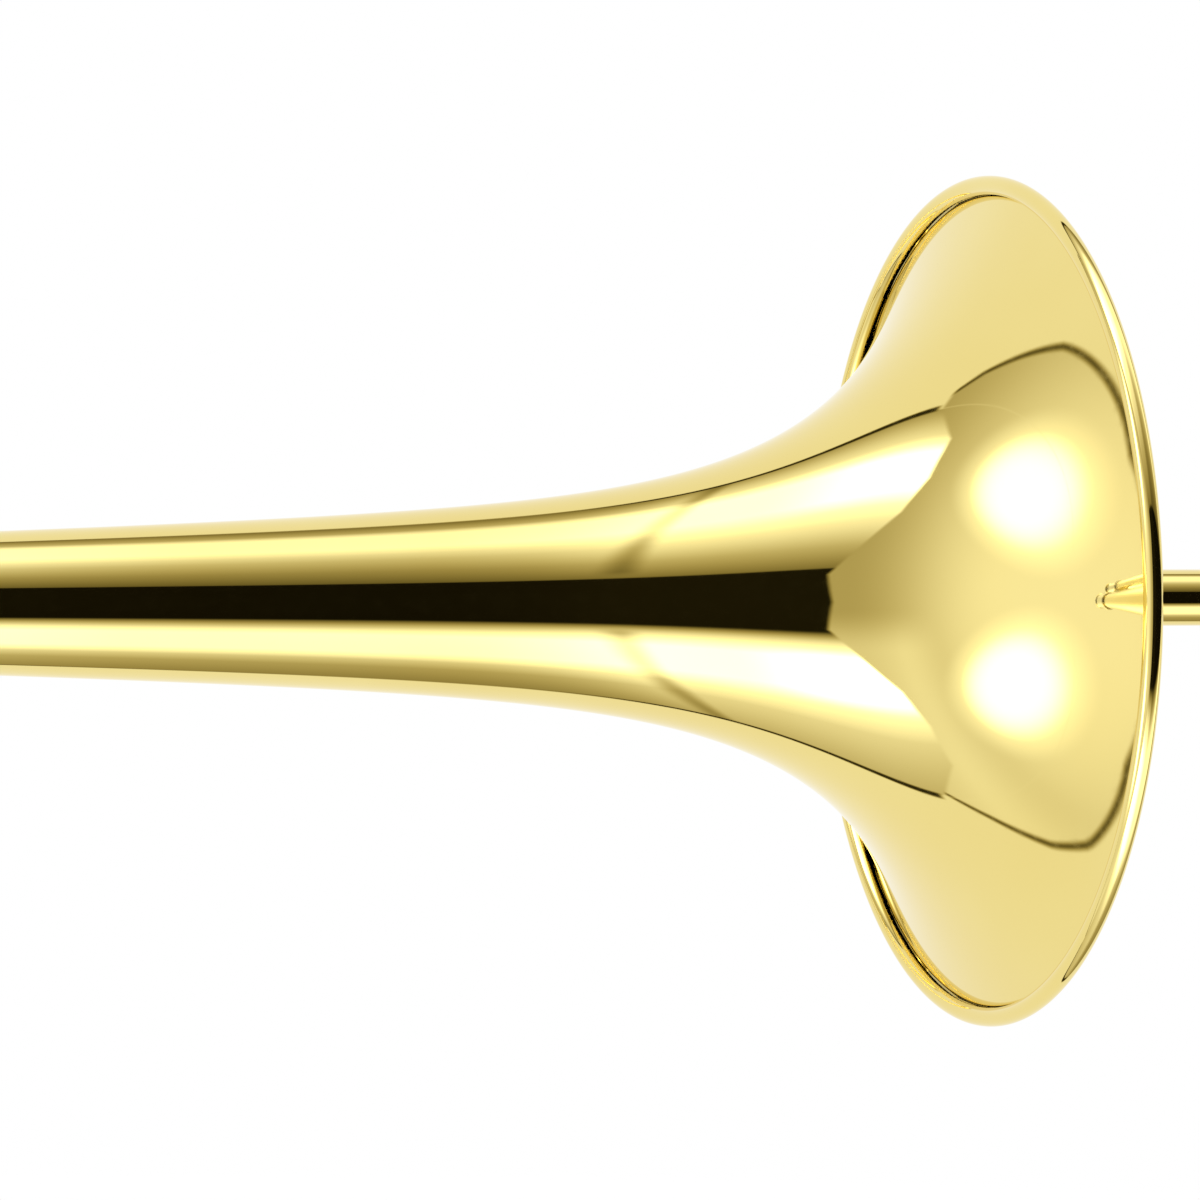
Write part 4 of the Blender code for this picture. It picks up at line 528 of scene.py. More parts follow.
class Route:
    """A centreline of straight runs and arcs from a start point."""

    def __init__(self, start, heading):
        self.points = [Vector(start)]
        self.heading = Vector(heading)

    def straight(self, length):
        self.points.append(self.points[-1] + self.heading * length)
        return self

    def bend(self, radius, angle, towards):
        start, ahead, side = self.points[-1].copy(), self.heading.copy(), Vector(towards)
        steps = max(4, round(angle * STEPS_PER_RADIAN))
        for k in range(1, steps + 1):
            a = angle * k / steps
            self.points.append(start + ahead * radius * math.sin(a) + side * radius * (1 - math.cos(a)))
        self.heading = ahead * math.cos(angle) + side * math.sin(angle)
        return self

    def offset(self, run, shift, towards):
        """Two equal and opposite arcs that move the line aside by shift over a length of run."""
        radius = (run * run + shift * shift) / (4 * shift)
        angle = math.asin(run / 2 / radius) if run > shift else math.pi - math.asin(run / 2 / radius)
        side, ahead = Vector(towards), self.heading.copy()
        self.bend(radius, angle, side)
        back = side * math.cos(angle) - ahead * math.sin(angle)
        self.bend(radius, angle, -back)
        self.heading = ahead
        return self


class Form:
    """The mesh of one piece, as closed shells in the row frame."""

    def __init__(self):
        self.mesh = bmesh.new()

    def skin(self, rows, ring=False):
        """Joins rows of points. A row of one point closes the shell there, and ring joins the last row to the first."""
        rows = [[self.mesh.verts.new(p) for p in row] for row in rows]
        pairs = list(zip(rows, rows[1:]))
        if ring:
            pairs.append((rows[-1], rows[0]))
        for low, high in pairs:
            count = max(len(low), len(high))
            for j in range(count if count > 1 else 0):
                i = (j + 1) % count
                spots = (low[j % len(low)], low[i % len(low)], high[i % len(high)], high[j % len(high)])
                self.mesh.faces.new(list(dict.fromkeys(spots)))
        if not ring:
            for row in (rows[0], rows[-1]):
                if len(row) > 2:
                    self.mesh.faces.new(row)
        return self

    def lathe(self, outline, base=(0, 0, 0), axis=X_AXIS, sides=ROUND_SIDES, corner=CORNER_RADIUS, grip=None):
        """Turns an outline about an axis. Grip is (start, end, depth, count) of a knurled band."""
        base, out = Vector(base), Z_AXIS if abs(axis.z) < 0.5 else X_AXIS
        across = axis.cross(out)
        rows = []
        for a, r in soften(outline, corner) if corner else outline:
            if r == 0:
                rows.append([base + axis * a])
                continue
            row = []
            for j in range(sides):
                turn = math.tau * j / sides
                radius = r
                if grip and grip[0] <= a <= grip[1]:
                    radius -= grip[2] * (0.5 - 0.5 * math.cos(turn * grip[3]))
                row.append(base + axis * a + (out * math.cos(turn) + across * math.sin(turn)) * radius)
            rows.append(row)
        return self.skin(rows, ring=True)

    def pipe(self, points, radii, bores=None, sides=PIPE_SIDES):
        """A tube along a line, or a rod with no bores. Radii and bores are one size, or one for each point."""
        def rings(sizes):
            sizes = sizes if isinstance(sizes, list) else [sizes] * len(points)
            normal, made = Vector(Z_AXIS), []
            for k, point in enumerate(points):
                ahead = (points[min(k + 1, len(points) - 1)] - points[max(k - 1, 0)]).normalized()
                normal = (normal - ahead * normal.dot(ahead)).normalized()
                side = ahead.cross(normal)
                turns = [math.tau * j / sides for j in range(sides)]
                made.append([point + (normal * math.cos(t) + side * math.sin(t)) * sizes[k] for t in turns])
            return made
        if bores is None:
            return self.skin(rings(radii))
        return self.skin(rings(radii) + rings(bores)[::-1], ring=True)

    def plate(self, centres, radii, low, high, flat=Y_AXIS, steps=14):
        """A flat link: two round ends joined by straight flanks, square to Y or Z."""
        (ax, az), (bx, bz) = centres
        lean = math.atan2(bz - az, bx - ax)
        spread = math.acos((radii[0] - radii[1]) / math.hypot(bx - ax, bz - az))
        outline = []
        for (cx, cz), radius, first, last in (
            (centres[0], radii[0], lean + spread, lean + math.tau - spread),
            (centres[1], radii[1], lean - spread, lean + spread),
        ):
            for k in range(steps + 1):
                a = first + (last - first) * k / steps
                outline.append((cx + radius * math.cos(a), cz + radius * math.sin(a)))
        if flat is Y_AXIS:
            return self.skin([[Vector((x, y, z)) for x, z in outline] for y in (low, high)])
        return self.skin([[Vector((x, y, z)) for x, y in outline] for z in (low, high)])

    def block(self, low, high):
        corners = ((low[1], low[2]), (high[1], low[2]), (high[1], high[2]), (low[1], high[2]))
        return self.skin([[Vector((x, y, z)) for y, z in corners] for x in (low[0], high[0])])

    def strap(self, stations, thickness):
        """A flat bar whose broad faces look along X. Stations are (x, y, z, width)."""
        rows = []
        for k, (x, y, z, width) in enumerate(stations):
            before, after = stations[max(k - 1, 0)], stations[min(k + 1, len(stations) - 1)]
            ahead = Vector((0, after[1] - before[1], after[2] - before[2])).normalized()
            across = ahead.cross(X_AXIS)
            half, thick = width / 2, thickness / 2
            edge = min(thick * 0.8, half * 0.4)
            corners = [(-half, -thick + edge), (-half + edge, -thick), (half - edge, -thick), (half, -thick + edge)]
            corners += [(-a, -b) for a, b in corners]
            rows.append([Vector((x, y, z)) + across * a + X_AXIS * b for a, b in corners])
        return self.skin(rows)

    def moved(self, matrix):
        self.mesh.transform(matrix)
        return self


def dress(form, node, bevel=0.0, rounds=0):
    """Turns a form into the piece that stands for a CAD node, with the node's body, slot and finish."""
    name = f"{node}_piece"
    bmesh.ops.recalc_face_normals(form.mesh, faces=form.mesh.faces)
    mesh = bpy.data.meshes.new(name)
    form.mesh.to_mesh(mesh)
    form.mesh.free()
    mesh.shade_smooth()
    mesh.materials.append(FINISHES[SLOT_OF[node]])
    piece = bpy.data.objects.new(name, mesh)
    bpy.context.scene.collection.objects.link(piece)
    if rounds:
        change = piece.modifiers.new("rounded", "SUBSURF")
        change.levels = change.render_levels = rounds
    if bevel:
        change = piece.modifiers.new("edges", "BEVEL")
        change.width, change.segments, change.limit_method = bevel, 3, "ANGLE"
        change.angle_limit = SHARP_TURN
    if not rounds:
        piece.modifiers.new("shading", "WEIGHTED_NORMAL").keep_sharp = False
    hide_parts(node)
    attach(piece, frame["nodes"][node]["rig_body"])
    return piece


class Span:
    """Where a CAD node lies along X: its ends, its middle line and its radius."""

    def __init__(self, node):
        low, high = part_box(node)
        self.back, self.front = low.x, high.x
        self.y, self.z = (low.y + high.y) / 2, (low.z + high.z) / 2
        self.radius = (high.z - low.z) / 2
        self.base = (0, self.y, self.z)


# Bell section

def bell_radius(s):
    """Outer radius of the bell, s behind the edge of its sheet: a slow stem taper and an exponential flare."""
    slope = math.atan((RIM_RADIUS - BELL_TAIL_RADIUS - STEM_RISE) / FLARE_DEPTH)
    edge = RIM_RADIUS - BEAD_RADIUS - (BEAD_RADIUS - BELL_WALL) * math.cos(slope)
    stem = STEM_RISE * max(0.0, 1 - s / BELL_LENGTH) ** STEM_POWER
    return BELL_TAIL_RADIUS + stem + (edge - BELL_TAIL_RADIUS - STEM_RISE) * math.exp(-s / FLARE_DEPTH)


def bell_slope(s):
    step = 1e-5
    return math.atan((bell_radius(s) - bell_radius(s + step)) / step)


def bell_point(s, depth):
    """(x, radius) of the bell's sheet at s, depth under its outer face."""
    a = bell_slope(s)
    return BELL_MOUTH - s + depth * math.sin(a), bell_radius(s) - depth * math.cos(a)


def make_bell():
    depths = [BELL_LENGTH * (k / BELL_STEPS) ** 2 for k in range(BELL_STEPS + 1)]
    outer = [bell_point(s, 0) for s in depths]
    inner = [bell_point(s, BELL_WALL) for s in depths[1:]]
    reach = BEAD_RADIUS - BELL_WALL
    cx = BELL_MOUTH - reach * math.sin(bell_slope(0))
    cr = bell_radius(0) + reach * math.cos(bell_slope(0))
    first = 270 * DEGREE - bell_slope(0)
    curl = []
    there, back = range(CURL_STEPS + 1), range(CURL_STEPS, 0, -1)
    for radius, steps in ((BEAD_RADIUS, there), (reach, back)):
        for k in steps:
            a = first + (CURL_END - first) * k / CURL_STEPS
            curl.append((cx - radius * math.cos(a), cr + radius * math.sin(a)))
    form = Form().lathe(inner[::-1] + curl + outer, (0, -BELL_OFFSET, 0), sides=BELL_SIDES, corner=0)
    dress(form, "bell")


def make_sleeve(node):
    """A slide sleeve: a ferrule with a groove at its front, and a rounded bead at its mouth."""
    at = Span(node)
    top = at.radius
    radius, bore = top - FERRULE_RISE, top - FERRULE_RISE - SLEEVE_WALL
    front, back, length = at.front, at.back, FERRULE_LENGTH
    outline = [(front, bore), (front, top - 0.0003), (front - 0.25 * length, top), (front - 0.50 * length, top)]
    outline += [(front - 0.58 * length, top - 0.0005), (front - 0.70 * length, top - 0.0005)]
    outline += [(front - 0.78 * length, top - 0.0002), (front - length, top - 0.0002), (front - 1.4 * length, radius)]
    outline += [(back + length, radius), (back + 0.8 * length, radius + 0.6 * FERRULE_RISE)]
    outline += [(back, radius + 0.6 * FERRULE_RISE), (back, bore)]
    dress(Form().lathe(outline, at.base, corner=0.0004), node)


def make_tube(node, wall, corner=0.0002):
    at = Span(node)
    outline = tube_outline(at.back, at.front, at.radius, at.radius - wall)
    dress(Form().lathe(outline, at.base, corner=corner), node)


def stay(node, x, z, low_end, high_end, radius, flange, thickness=0.0011, on_bell=False):
    """A round stay along Y on saddle-shaped flanges that follow the tubes they sit on. Ends are (y, tube radius)."""
    (y0, r0), (y1, r1) = low_end, high_end

    def seat(sign, turn, out, lift):
        """Y of the surface over a point at this turn and distance from the stay's middle line."""
        dx, dz = out * math.cos(turn), out * math.sin(turn)
        centre, size = (y0, r0) if sign > 0 else (y1, r1)
        if on_bell and sign > 0:
            size = bell_radius(BELL_MOUTH - x - dx)
        return centre + sign * (math.sqrt(max((size + lift) ** 2 - dz * dz, 0)))

    neck = 1.2 * flange
    stops = [(flange, 0.0), (flange, 0.6 * thickness), (0.93 * flange, thickness), (0.75 * flange, 1.25 * thickness)]
    stops += [(1.5 * radius, 1.6 * thickness), (1.12 * radius, 2.6 * thickness)]
    rows = []
    for sign, order in ((1, stops), (-1, stops[::-1])):
        if sign > 0:
            rows.append([Vector((x, seat(1, 0, 0, 0), z))])
        else:
            top = y1 - r1 - neck
            rows += [ring_of(x, y, z, radius) for y in (y0 + r0 + neck, (y0 + r0 + neck + top) / 2, top)]
        for out, lift in order:
            turns = [math.tau * j / SMALL_SIDES for j in range(SMALL_SIDES)]
            rows.append([Vector((x + out * math.cos(t), seat(sign, t, out, lift), z + out * math.sin(t))) for t in turns])
        if sign < 0:
            rows.append([Vector((x, seat(-1, 0, 0, 0), z))])
    form = Form().skin(rows)
    if radius > 0.003:
        middle = (y0 + r0 + y1 - r1) / 2
        bead = [(-0.0022, 0.8 * radius), (-0.0022, radius + 0.0004), (-0.0012, radius + 0.0010)]
        bead += [(0.0012, radius + 0.0010), (0.0022, radius + 0.0004), (0.0022, 0.8 * radius)]
        form.lathe(bead, (x, middle, z), Y_AXIS, SMALL_SIDES)
    return form


def ring_of(x, y, z, radius):
    turns = [math.tau * j / SMALL_SIDES for j in range(SMALL_SIDES)]
    return [Vector((x + radius * math.cos(t), y, z + radius * math.sin(t))) for t in turns]


def make_receiver():
    """The slide receiver, with the thread that its lock nut runs on."""
    at = Span("slide_receiver")
    thread, body, bore = at.radius, RECEIVER_RADIUS, TENON_RADIUS + TURN_GAP
    outline = [(at.front, bore), (at.front, thread - THREAD_DEPTH)]
    for k in range(THREAD_TURNS):
        for share, depth in ((0.30, 0), (0.48, 0), (0.80, THREAD_DEPTH), (0.98, THREAD_DEPTH)):
            outline.append((at.front - (k + share) * THREAD_PITCH, thread - depth))
    end = at.front - (THREAD_TURNS + 0.5) * THREAD_PITCH
    outline += [(end, body), (at.back + 0.0036, body), (at.back + 0.0030, body + 0.0005)]
    outline += [(at.back + 0.0012, body + 0.0005), (at.back, body - 0.0004), (at.back, SLEEVE_BORE)]
    outline += [(-TENON_LENGTH, SLEEVE_BORE), (-TENON_LENGTH, bore)]
    dress(Form().lathe(outline, at.base, corner=0.00015), "slide_receiver")


def make_neck():
    start = -TENON_LENGTH - 0.0015 - GAP
    route = Route((start, 0, 0), (-1, 0, 0)).straight(start + RECEIVER_LENGTH + GAP)
    route.offset(-RECEIVER_LENGTH - (VALVE.x + PORT_END), -VALVE.y, (0, -1, 0)).straight(PORT_END - PORT_SEAT)
    dress(Form().pipe(route.points, TUBE_RADIUS, NECK_BORE), "gooseneck")

    elbow = -VALVE.y - PORT_END
    end = Span("neck_slide_leg").front + LEG_GAP
    route = Route((VALVE.x, VALVE.y + PORT_SEAT, 0), (0, 1, 0)).straight(PORT_END - PORT_SEAT)
    route.bend(elbow, math.pi / 2, (-1, 0, 0)).straight(VALVE.x - elbow - end)
    dress(Form().pipe(route.points, TUBE_RADIUS, NECK_BORE), "neck_tube")


def make_braces():
    bell_line = -BELL_OFFSET
    for node, x, seat in (("front_bell_brace", FRONT_BRACE_X, RECEIVER_RADIUS), ("rear_bell_brace", REAR_BRACE_X, TUBE_RADIUS)):
        low_end = (bell_line, bell_radius(BELL_MOUTH - x))
        dress(stay(node, x, 0, low_end, (0, seat), BRACE_RADIUS, BRACE_FLANGE, on_bell=True), node)
    tubes = ((F_OUTER_Y, TUBE_RADIUS), (VALVE.y, TUBE_RADIUS))
    loop = stay("f_loop_brace", REAR_BRACE_X, F_HEIGHT, *tubes, BRACE_RADIUS, BRACE_FLANGE)
    foot = (REAR_BRACE_X, (F_OUTER_Y + VALVE.y) / 2, 0)
    post = [(BRACE_RADIUS - 0.0008, 0), (BRACE_RADIUS - 0.0008, 0.0044), (BRACE_RADIUS + 0.0012, 0.0040)]
    post += [(BRACE_RADIUS + 0.0030, 0.0028), (F_HEIGHT - 0.0060, 0.0028), (F_HEIGHT - 0.0046, 0.0042), (F_HEIGHT, 0.0042)]
    loop.lathe(post + [(F_HEIGHT, 0)], foot, Z_AXIS, SMALL_SIDES)
    dress(loop, "f_loop_brace")
    sleeve = SLEEVE_BORE + SLEEVE_WALL
    ends = ((F_OUTER_Y, sleeve), (VALVE.y, sleeve))
    dress(stay("f_sleeve_brace", F_BRACE_X, F_HEIGHT, *ends, BRACE_RADIUS, BRACE_FLANGE), "f_sleeve_brace")
    ends = ((bell_line, BELL_TAIL_RADIUS + COLLAR_RISE), (0, TUBE_RADIUS + COLLAR_RISE))
    brace = stay("main_slide_brace", MAIN_BOW_X + BOW_FERRULE / 2, 0, *ends, BRACE_RADIUS, 0.005)
    dress(brace, "main_slide_brace")
    ends = ((0, BARREL_RADIUS), (SLIDE_SPAN, BARREL_RADIUS))
    dress(stay("grip_brace", GRIP_BRACE_X, 0, *ends, GRIP_RADIUS, 0.0075), "grip_brace")
    ends = ((0, OUTER_RADIUS), (SLIDE_SPAN, OUTER_RADIUS))
    dress(stay("outer_slide_brace", OUTER_BRACE_X, 0, *ends, GRIP_RADIUS, 0.0070), "outer_slide_brace")


# Rotary valve and its linkage

def make_valve():
    bore = ROTOR_RADIUS + GAP
    outer, half = bore + CASING_WALL, CASING_HALF
    barrel = [(-half, bore), (-half, outer - 0.0006), (-half + 0.0008, outer), (-half + 0.0030, outer)]
    barrel += [(-half + 0.0036, outer - 0.0006)]
    barrel += [(-a, r) for a, r in barrel[::-1]]
    form = Form().lathe(barrel, VALVE, Z_AXIS, corner=0.0004)
    socket = SLEEVE_BORE + PORT_WALL
    for axis in (X_AXIS, -X_AXIS, Y_AXIS, -Y_AXIS):
        port = [(0.82 * outer, SLEEVE_BORE - GAP), (0.82 * outer, socket), (PORT_END - 0.0020, socket)]
        port += [(PORT_END - 0.0016, socket + 0.0005), (PORT_END - 0.0003, socket + 0.0005), (PORT_END, socket)]
        form.lathe(port + [(PORT_END, SLEEVE_BORE - GAP)], VALVE, axis, PIPE_SIDES)
    dress(form, "valve_casing")

    low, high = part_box("bearing_plate")
    edge, hub = (high.x - low.x) / 2, SPINDLE_RADIUS + TURN_GAP
    plate = [(low.z, hub), (low.z, edge), (high.z - 0.0008, edge), (high.z, edge - 0.0009)]
    plate += [(high.z, 0.0186), (high.z - 0.0004, 0.0183), (high.z - 0.0004, 0.0176), (high.z, 0.0173)]
    plate += [(high.z, hub + 0.0034), (high.z + 0.0003, hub + 0.0031), (high.z + 0.0003, hub)]
    dress(Form().lathe(plate, VALVE, Z_AXIS), "bearing_plate")

    low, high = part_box("valve_cap")
    edge, wall, top, bottom = (high.x - low.x) / 2, 0.0012, high.z, low.z
    cap = [(top, edge - wall), (top, edge - 0.0003), (top - 0.0004, edge), (top - 0.0028, edge)]
    cap += [(top - 0.0033, edge - 0.0005), (top - 0.0037, edge - 0.0016), (bottom + 0.0012, 0.84 * edge)]
    cap += [(bottom + 0.0003, 0.76 * edge), (bottom, 0.66 * edge), (bottom, 0.0080), (bottom + 0.0005, 0.0074)]
    cap += [(bottom + 0.0005, 0.0026), (bottom + 0.0012, 0), (bottom + wall + 0.0006, 0)]
    cap += [(bottom + wall + 0.0004, 0.7 * edge), (top - 0.0030, edge - 2 * wall)]
    grip = (top - 0.0030, top - 0.0002, 0.0004, 72)
    dress(Form().lathe(cap, VALVE, Z_AXIS, sides=576, grip=grip), "valve_cap")


def make_stop_arm():
    low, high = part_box("stop_arm")
    top = low.z + ARM_THICKNESS
    centre = (VALVE.x, VALVE.y)
    lug = math.atan2(LINK_PIN_SPOT.y - VALVE.y, LINK_PIN_SPOT.x - VALVE.x) + math.pi
    tip = (VALVE.x + STOP_RADIUS * math.cos(lug), VALVE.y + STOP_RADIUS * math.sin(lug))
    form = Form().plate((LINK_PIN_SPOT[:2], centre), (0.0026, 0.0055), low.z, top, Z_AXIS)
    form.plate((tip, centre), (0.0019, 0.0045), low.z, top, Z_AXIS)
    head = [(top, 0), (top, 0.0040), (top + 0.0009, 0.0040), (top + 0.0013, 0.0034), (top + 0.0013, 0.0012)]
    form.lathe(head + [(top + 0.0008, 0.0008), (top + 0.0008, 0)], VALVE, Z_AXIS, SMALL_SIDES)
    pin = [(top - 0.001, 0), (top - 0.001, LINK_PIN), (high.z - 0.0008, LINK_PIN), (high.z - 0.0006, 0.0008)]
    pin += [(high.z - 0.0004, LINK_PIN), (high.z, 0.8 * LINK_PIN), (high.z, 0)]
    form.lathe(pin, (LINK_PIN_SPOT.x, LINK_PIN_SPOT.y, 0), Z_AXIS, SMALL_SIDES, corner=0.0001)
    dress(form, "stop_arm", bevel=0.0003)
    for node in ("rest_stop_cork", "pressed_stop_cork"):
        low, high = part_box(node)
        middle, radius = (low + high) / 2, (high.y - low.y) / 2
        middle.z = 0
        dress(Form().lathe(rod_outline(low.z, high.z, radius), middle, Z_AXIS, SMALL_SIDES, 0.0005), node)


def make_link():
    low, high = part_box("valve_link")
    height = (low.z + high.z) / 2
    rear_hole, front_hole = LINK_PIN + TURN_GAP, LINK_PIN + LINK_PLAY
    rear = Vector((LINK_PIN_SPOT.x, LINK_PIN_SPOT.y, height))
    front = Vector((high.x - front_hole - LINK_EYE, LINK_PIN_SPOT.y, height))
    half = 0.0012
    form = Form().lathe(tube_outline(-half, half, rear_hole + LINK_EYE, rear_hole), rear, Z_AXIS, 48, 0.0004)
    form.lathe(tube_outline(-half, half, front_hole + LINK_EYE, front_hole), front, Y_AXIS, 48, 0.0004)
    start, end = rear.x + rear_hole + 0.3 * LINK_EYE, front.x - front_hole - 0.3 * LINK_EYE
    rod = [(start, 0), (start, 0.0010), (start + 0.0035, 0.0018), (start + 0.0065, 0.0018), (start + 0.0075, LINK_ROD)]
    rod += [(end - 0.0075, LINK_ROD), (end - 0.0065, 0.0018), (end - 0.0035, 0.0018), (end, 0.0010), (end, 0)]
    form.lathe(rod, (0, rear.y, height), X_AXIS, SMALL_SIDES)
    dress(form, "valve_link")


def eased(stations, steps=6):
    """More stations on a smooth curve through the given ones."""
    made = []
    ends = [stations[0], *stations, stations[-1]]
    for a, b, c, d in zip(ends, ends[1:], ends[2:], ends[3:]):
        for j in range(steps):
            t = j / steps
            made.append(tuple(
                q + 0.5 * t * (r - p + t * (2 * p - 5 * q + 4 * r - s + t * (3 * (q - r) + s - p)))
                for p, q, r, s in zip(a, b, c, d)
            ))
    return made + [stations[-1]]


def make_lever():
    """The thumb lever, drawn upright about its pin and leaned to its rest position."""
    pin_low, pin_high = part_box("lever_pin")
    pivot = Vector(((pin_low.x + pin_high.x) / 2, LEVER_Y, (pin_low.z + pin_high.z) / 2))
    drop, reach, wide = LEVER_DROP, PADDLE_REACH, LEVER_WIDTH
    stations = [(0, 0, LEVER_ARM - 0.0085, wide), (0, 0, -0.20 * drop, wide), (0, 0, -0.45 * drop, wide)]
    stations += [(0, 0.06 * reach, -0.62 * drop, wide), (-0.0005, 0.26 * reach, -0.81 * drop, 1.1 * wide)]
    stations += [(-0.001, 0.56 * reach, -0.93 * drop, 0.55 * PADDLE_WIDTH)]
    stations += [(-0.002, 0.82 * reach, -0.98 * drop, 0.88 * PADDLE_WIDTH)]
    stations += [(-0.0040, 0.96 * reach, -0.995 * drop, PADDLE_WIDTH), (-0.0045, reach, -drop, 0.90 * PADDLE_WIDTH)]
    form = Form().strap(eased(stations), LEVER_THICKNESS)
    half = wide / 2
    boss = [(-half, 0), (-half, 0.0040), (-half + 0.0006, 0.0042), (half - 0.0006, 0.0042), (half, 0.0040), (half, 0)]
    form.lathe(boss, axis=Y_AXIS, sides=48)
    drift = ARM_RADIUS * (1 - math.cos(STOP_SWING)) / 2
    inner = 0.0012 + drift + GAP
    outer = inner + 0.0018
    for low, high in ((-outer, -inner), (inner, outer)):
        form.plate(((0, LEVER_ARM), (0, LEVER_ARM - 0.0085)), (0.0028, 0.0027), low, high)
    form.block((-0.0027, -outer, LEVER_ARM - 0.0110), (0.0027, outer, LEVER_ARM - 0.0064))
    end = outer + 0.0008
    pin = [(-end, 0), (-end, 0.0014), (-end + 0.0006, 0.0018), (-outer, 0.0018), (-outer + 0.0001, LINK_PIN)]
    form.lathe(pin + [(-a, r) for a, r in pin[::-1]], (0, 0, LEVER_ARM), Y_AXIS, SMALL_SIDES, 0.0002)
    lean = math.asin(ARM_RADIUS * math.sin(STOP_SWING) / LEVER_ARM)
    form.moved(Matrix.Translation(pivot) @ Matrix.Rotation(lean, 4, "Y"))
    dress(form, "thumb_lever", bevel=0.00025)

    outside = SADDLE_HALF + CHEEK
    brace_spot, pin_spot = (FRONT_BRACE_X, 0), (pivot.x, pivot.z)
    form = Form()
    for low, high in ((-outside, -SADDLE_HALF), (SADDLE_HALF, outside)):
        form.plate((brace_spot, pin_spot), (0.0058, 0.0045), LEVER_Y + low, LEVER_Y + high)
    web = rod_outline(LEVER_Y - SADDLE_HALF - 0.0005, LEVER_Y + SADDLE_HALF + 0.0005, 0.0055)
    form.lathe(web, (FRONT_BRACE_X, 0, 0), Y_AXIS, 48)
    dress(form, "lever_saddle", bevel=0.00035)

    end = outside + 0.0012
    pin = [(-end - 0.0003, 0), (-end - 0.0003, 0.0018), (-end + 0.0003, 0.0029), (-outside, 0.0029)]
    pin += [(-outside, 0.0016), (outside, 0.0016), (outside + 0.001, 0.0015), (outside + 0.001, 0)]
    dress(Form().lathe(pin, pivot, Y_AXIS, SMALL_SIDES), "lever_pin")
    make_lever_spring(pivot, LEVER_Y + half, LEVER_Y + SADDLE_HALF)


def make_lever_spring(pivot, low, high):
    wire, coil, turns, steps = 0.00035, 0.0030, 2, 28
    pitch = (high - low - 2 * wire - 4 * GAP) / turns
    start = 35 * DEGREE
    line = []
    for k in range(turns * steps + 1):
        a = start + math.tau * k / steps
        y = low + wire + 2 * GAP + pitch * k / steps
        line.append(Vector((pivot.x + coil * math.cos(a), y, pivot.z + coil * math.sin(a))))
    leg = Vector((-math.sin(start), 0, math.cos(start)))
    line += [line[-1] + leg * 0.004, line[-1] + leg * 0.008]
    dress(Form().pipe(line, wire, sides=12), "lever_spring")


# Tuning slides and the F loop

def make_f_tubes():
    end = Span("f_return_leg").front + LEG_GAP
    route = Route((VALVE.x - PORT_SEAT, VALVE.y, 0), (-1, 0, 0)).straight(PORT_END - PORT_SEAT + 0.002)
    route.offset(F_RUN, F_HEIGHT, (0, 0, 1))
    route.straight(route.points[-1].x - end)
    dress(Form().pipe(route.points, TUBE_RADIUS, NECK_BORE), "f_return_tube")

    route = Route((VALVE.x, VALVE.y - PORT_SEAT, 0), (0, -1, 0)).straight(PORT_END - PORT_SEAT)
    route.bend(VALVE.y - PORT_END - F_OUTER_Y, math.pi / 2, (-1, 0, 0)).straight(0.003)
    route.offset(F_RUN, F_HEIGHT, (0, 0, 1))
    route.straight(route.points[-1].x - end)
    dress(Form().pipe(route.points, TUBE_RADIUS, NECK_BORE), "f_outer_tube")


def make_bow(node, x, z, high_end, low_end):
    """A half-round bow behind two legs, with a beaded ferrule over each leg. Ends are (y, leg radius)."""
    (y0, r0), (y1, r1) = high_end, low_end
    collar = [(0.0, 0.0016), (0.0004, 0.0020), (0.0014, 0.0020), (0.0019, 0.0012), (0.0090, 0.0012), (0.0100, 0.0007)]
    collar += [(0.0104, 0.0001)]
    line = Route((x + BOW_FERRULE, y0, z), (-1, 0, 0))
    for (a, _), (b, _) in zip(collar, collar[1:]):
        line.straight(b - a)
    line.straight(BOW_FERRULE - collar[-1][0]).bend((y0 - y1) / 2, math.pi, (0, -1, 0))
    line.straight(BOW_FERRULE - collar[-1][0])
    for (a, _), (b, _) in zip(collar[::-1], collar[::-1][1:]):
        line.straight(a - b)
    count, curve = len(collar), len(line.points) - 2 * len(collar)
    radii = [r0 + rise for _, rise in collar]
    radii += [r0 + (r1 - r0) * k / (curve - 1) for k in range(curve)]
    radii += [r1 + rise for _, rise in collar[::-1]]
    inside = [r0 + GAP] * (count - 1) + [r0 - TUBE_WALL] + [r - TUBE_WALL for r in radii[count:-count]]
    inside += [r1 - TUBE_WALL] + [r1 + GAP] * (count - 1)
    dress(Form().pipe(line.points, radii, inside), node)


# Hand slide

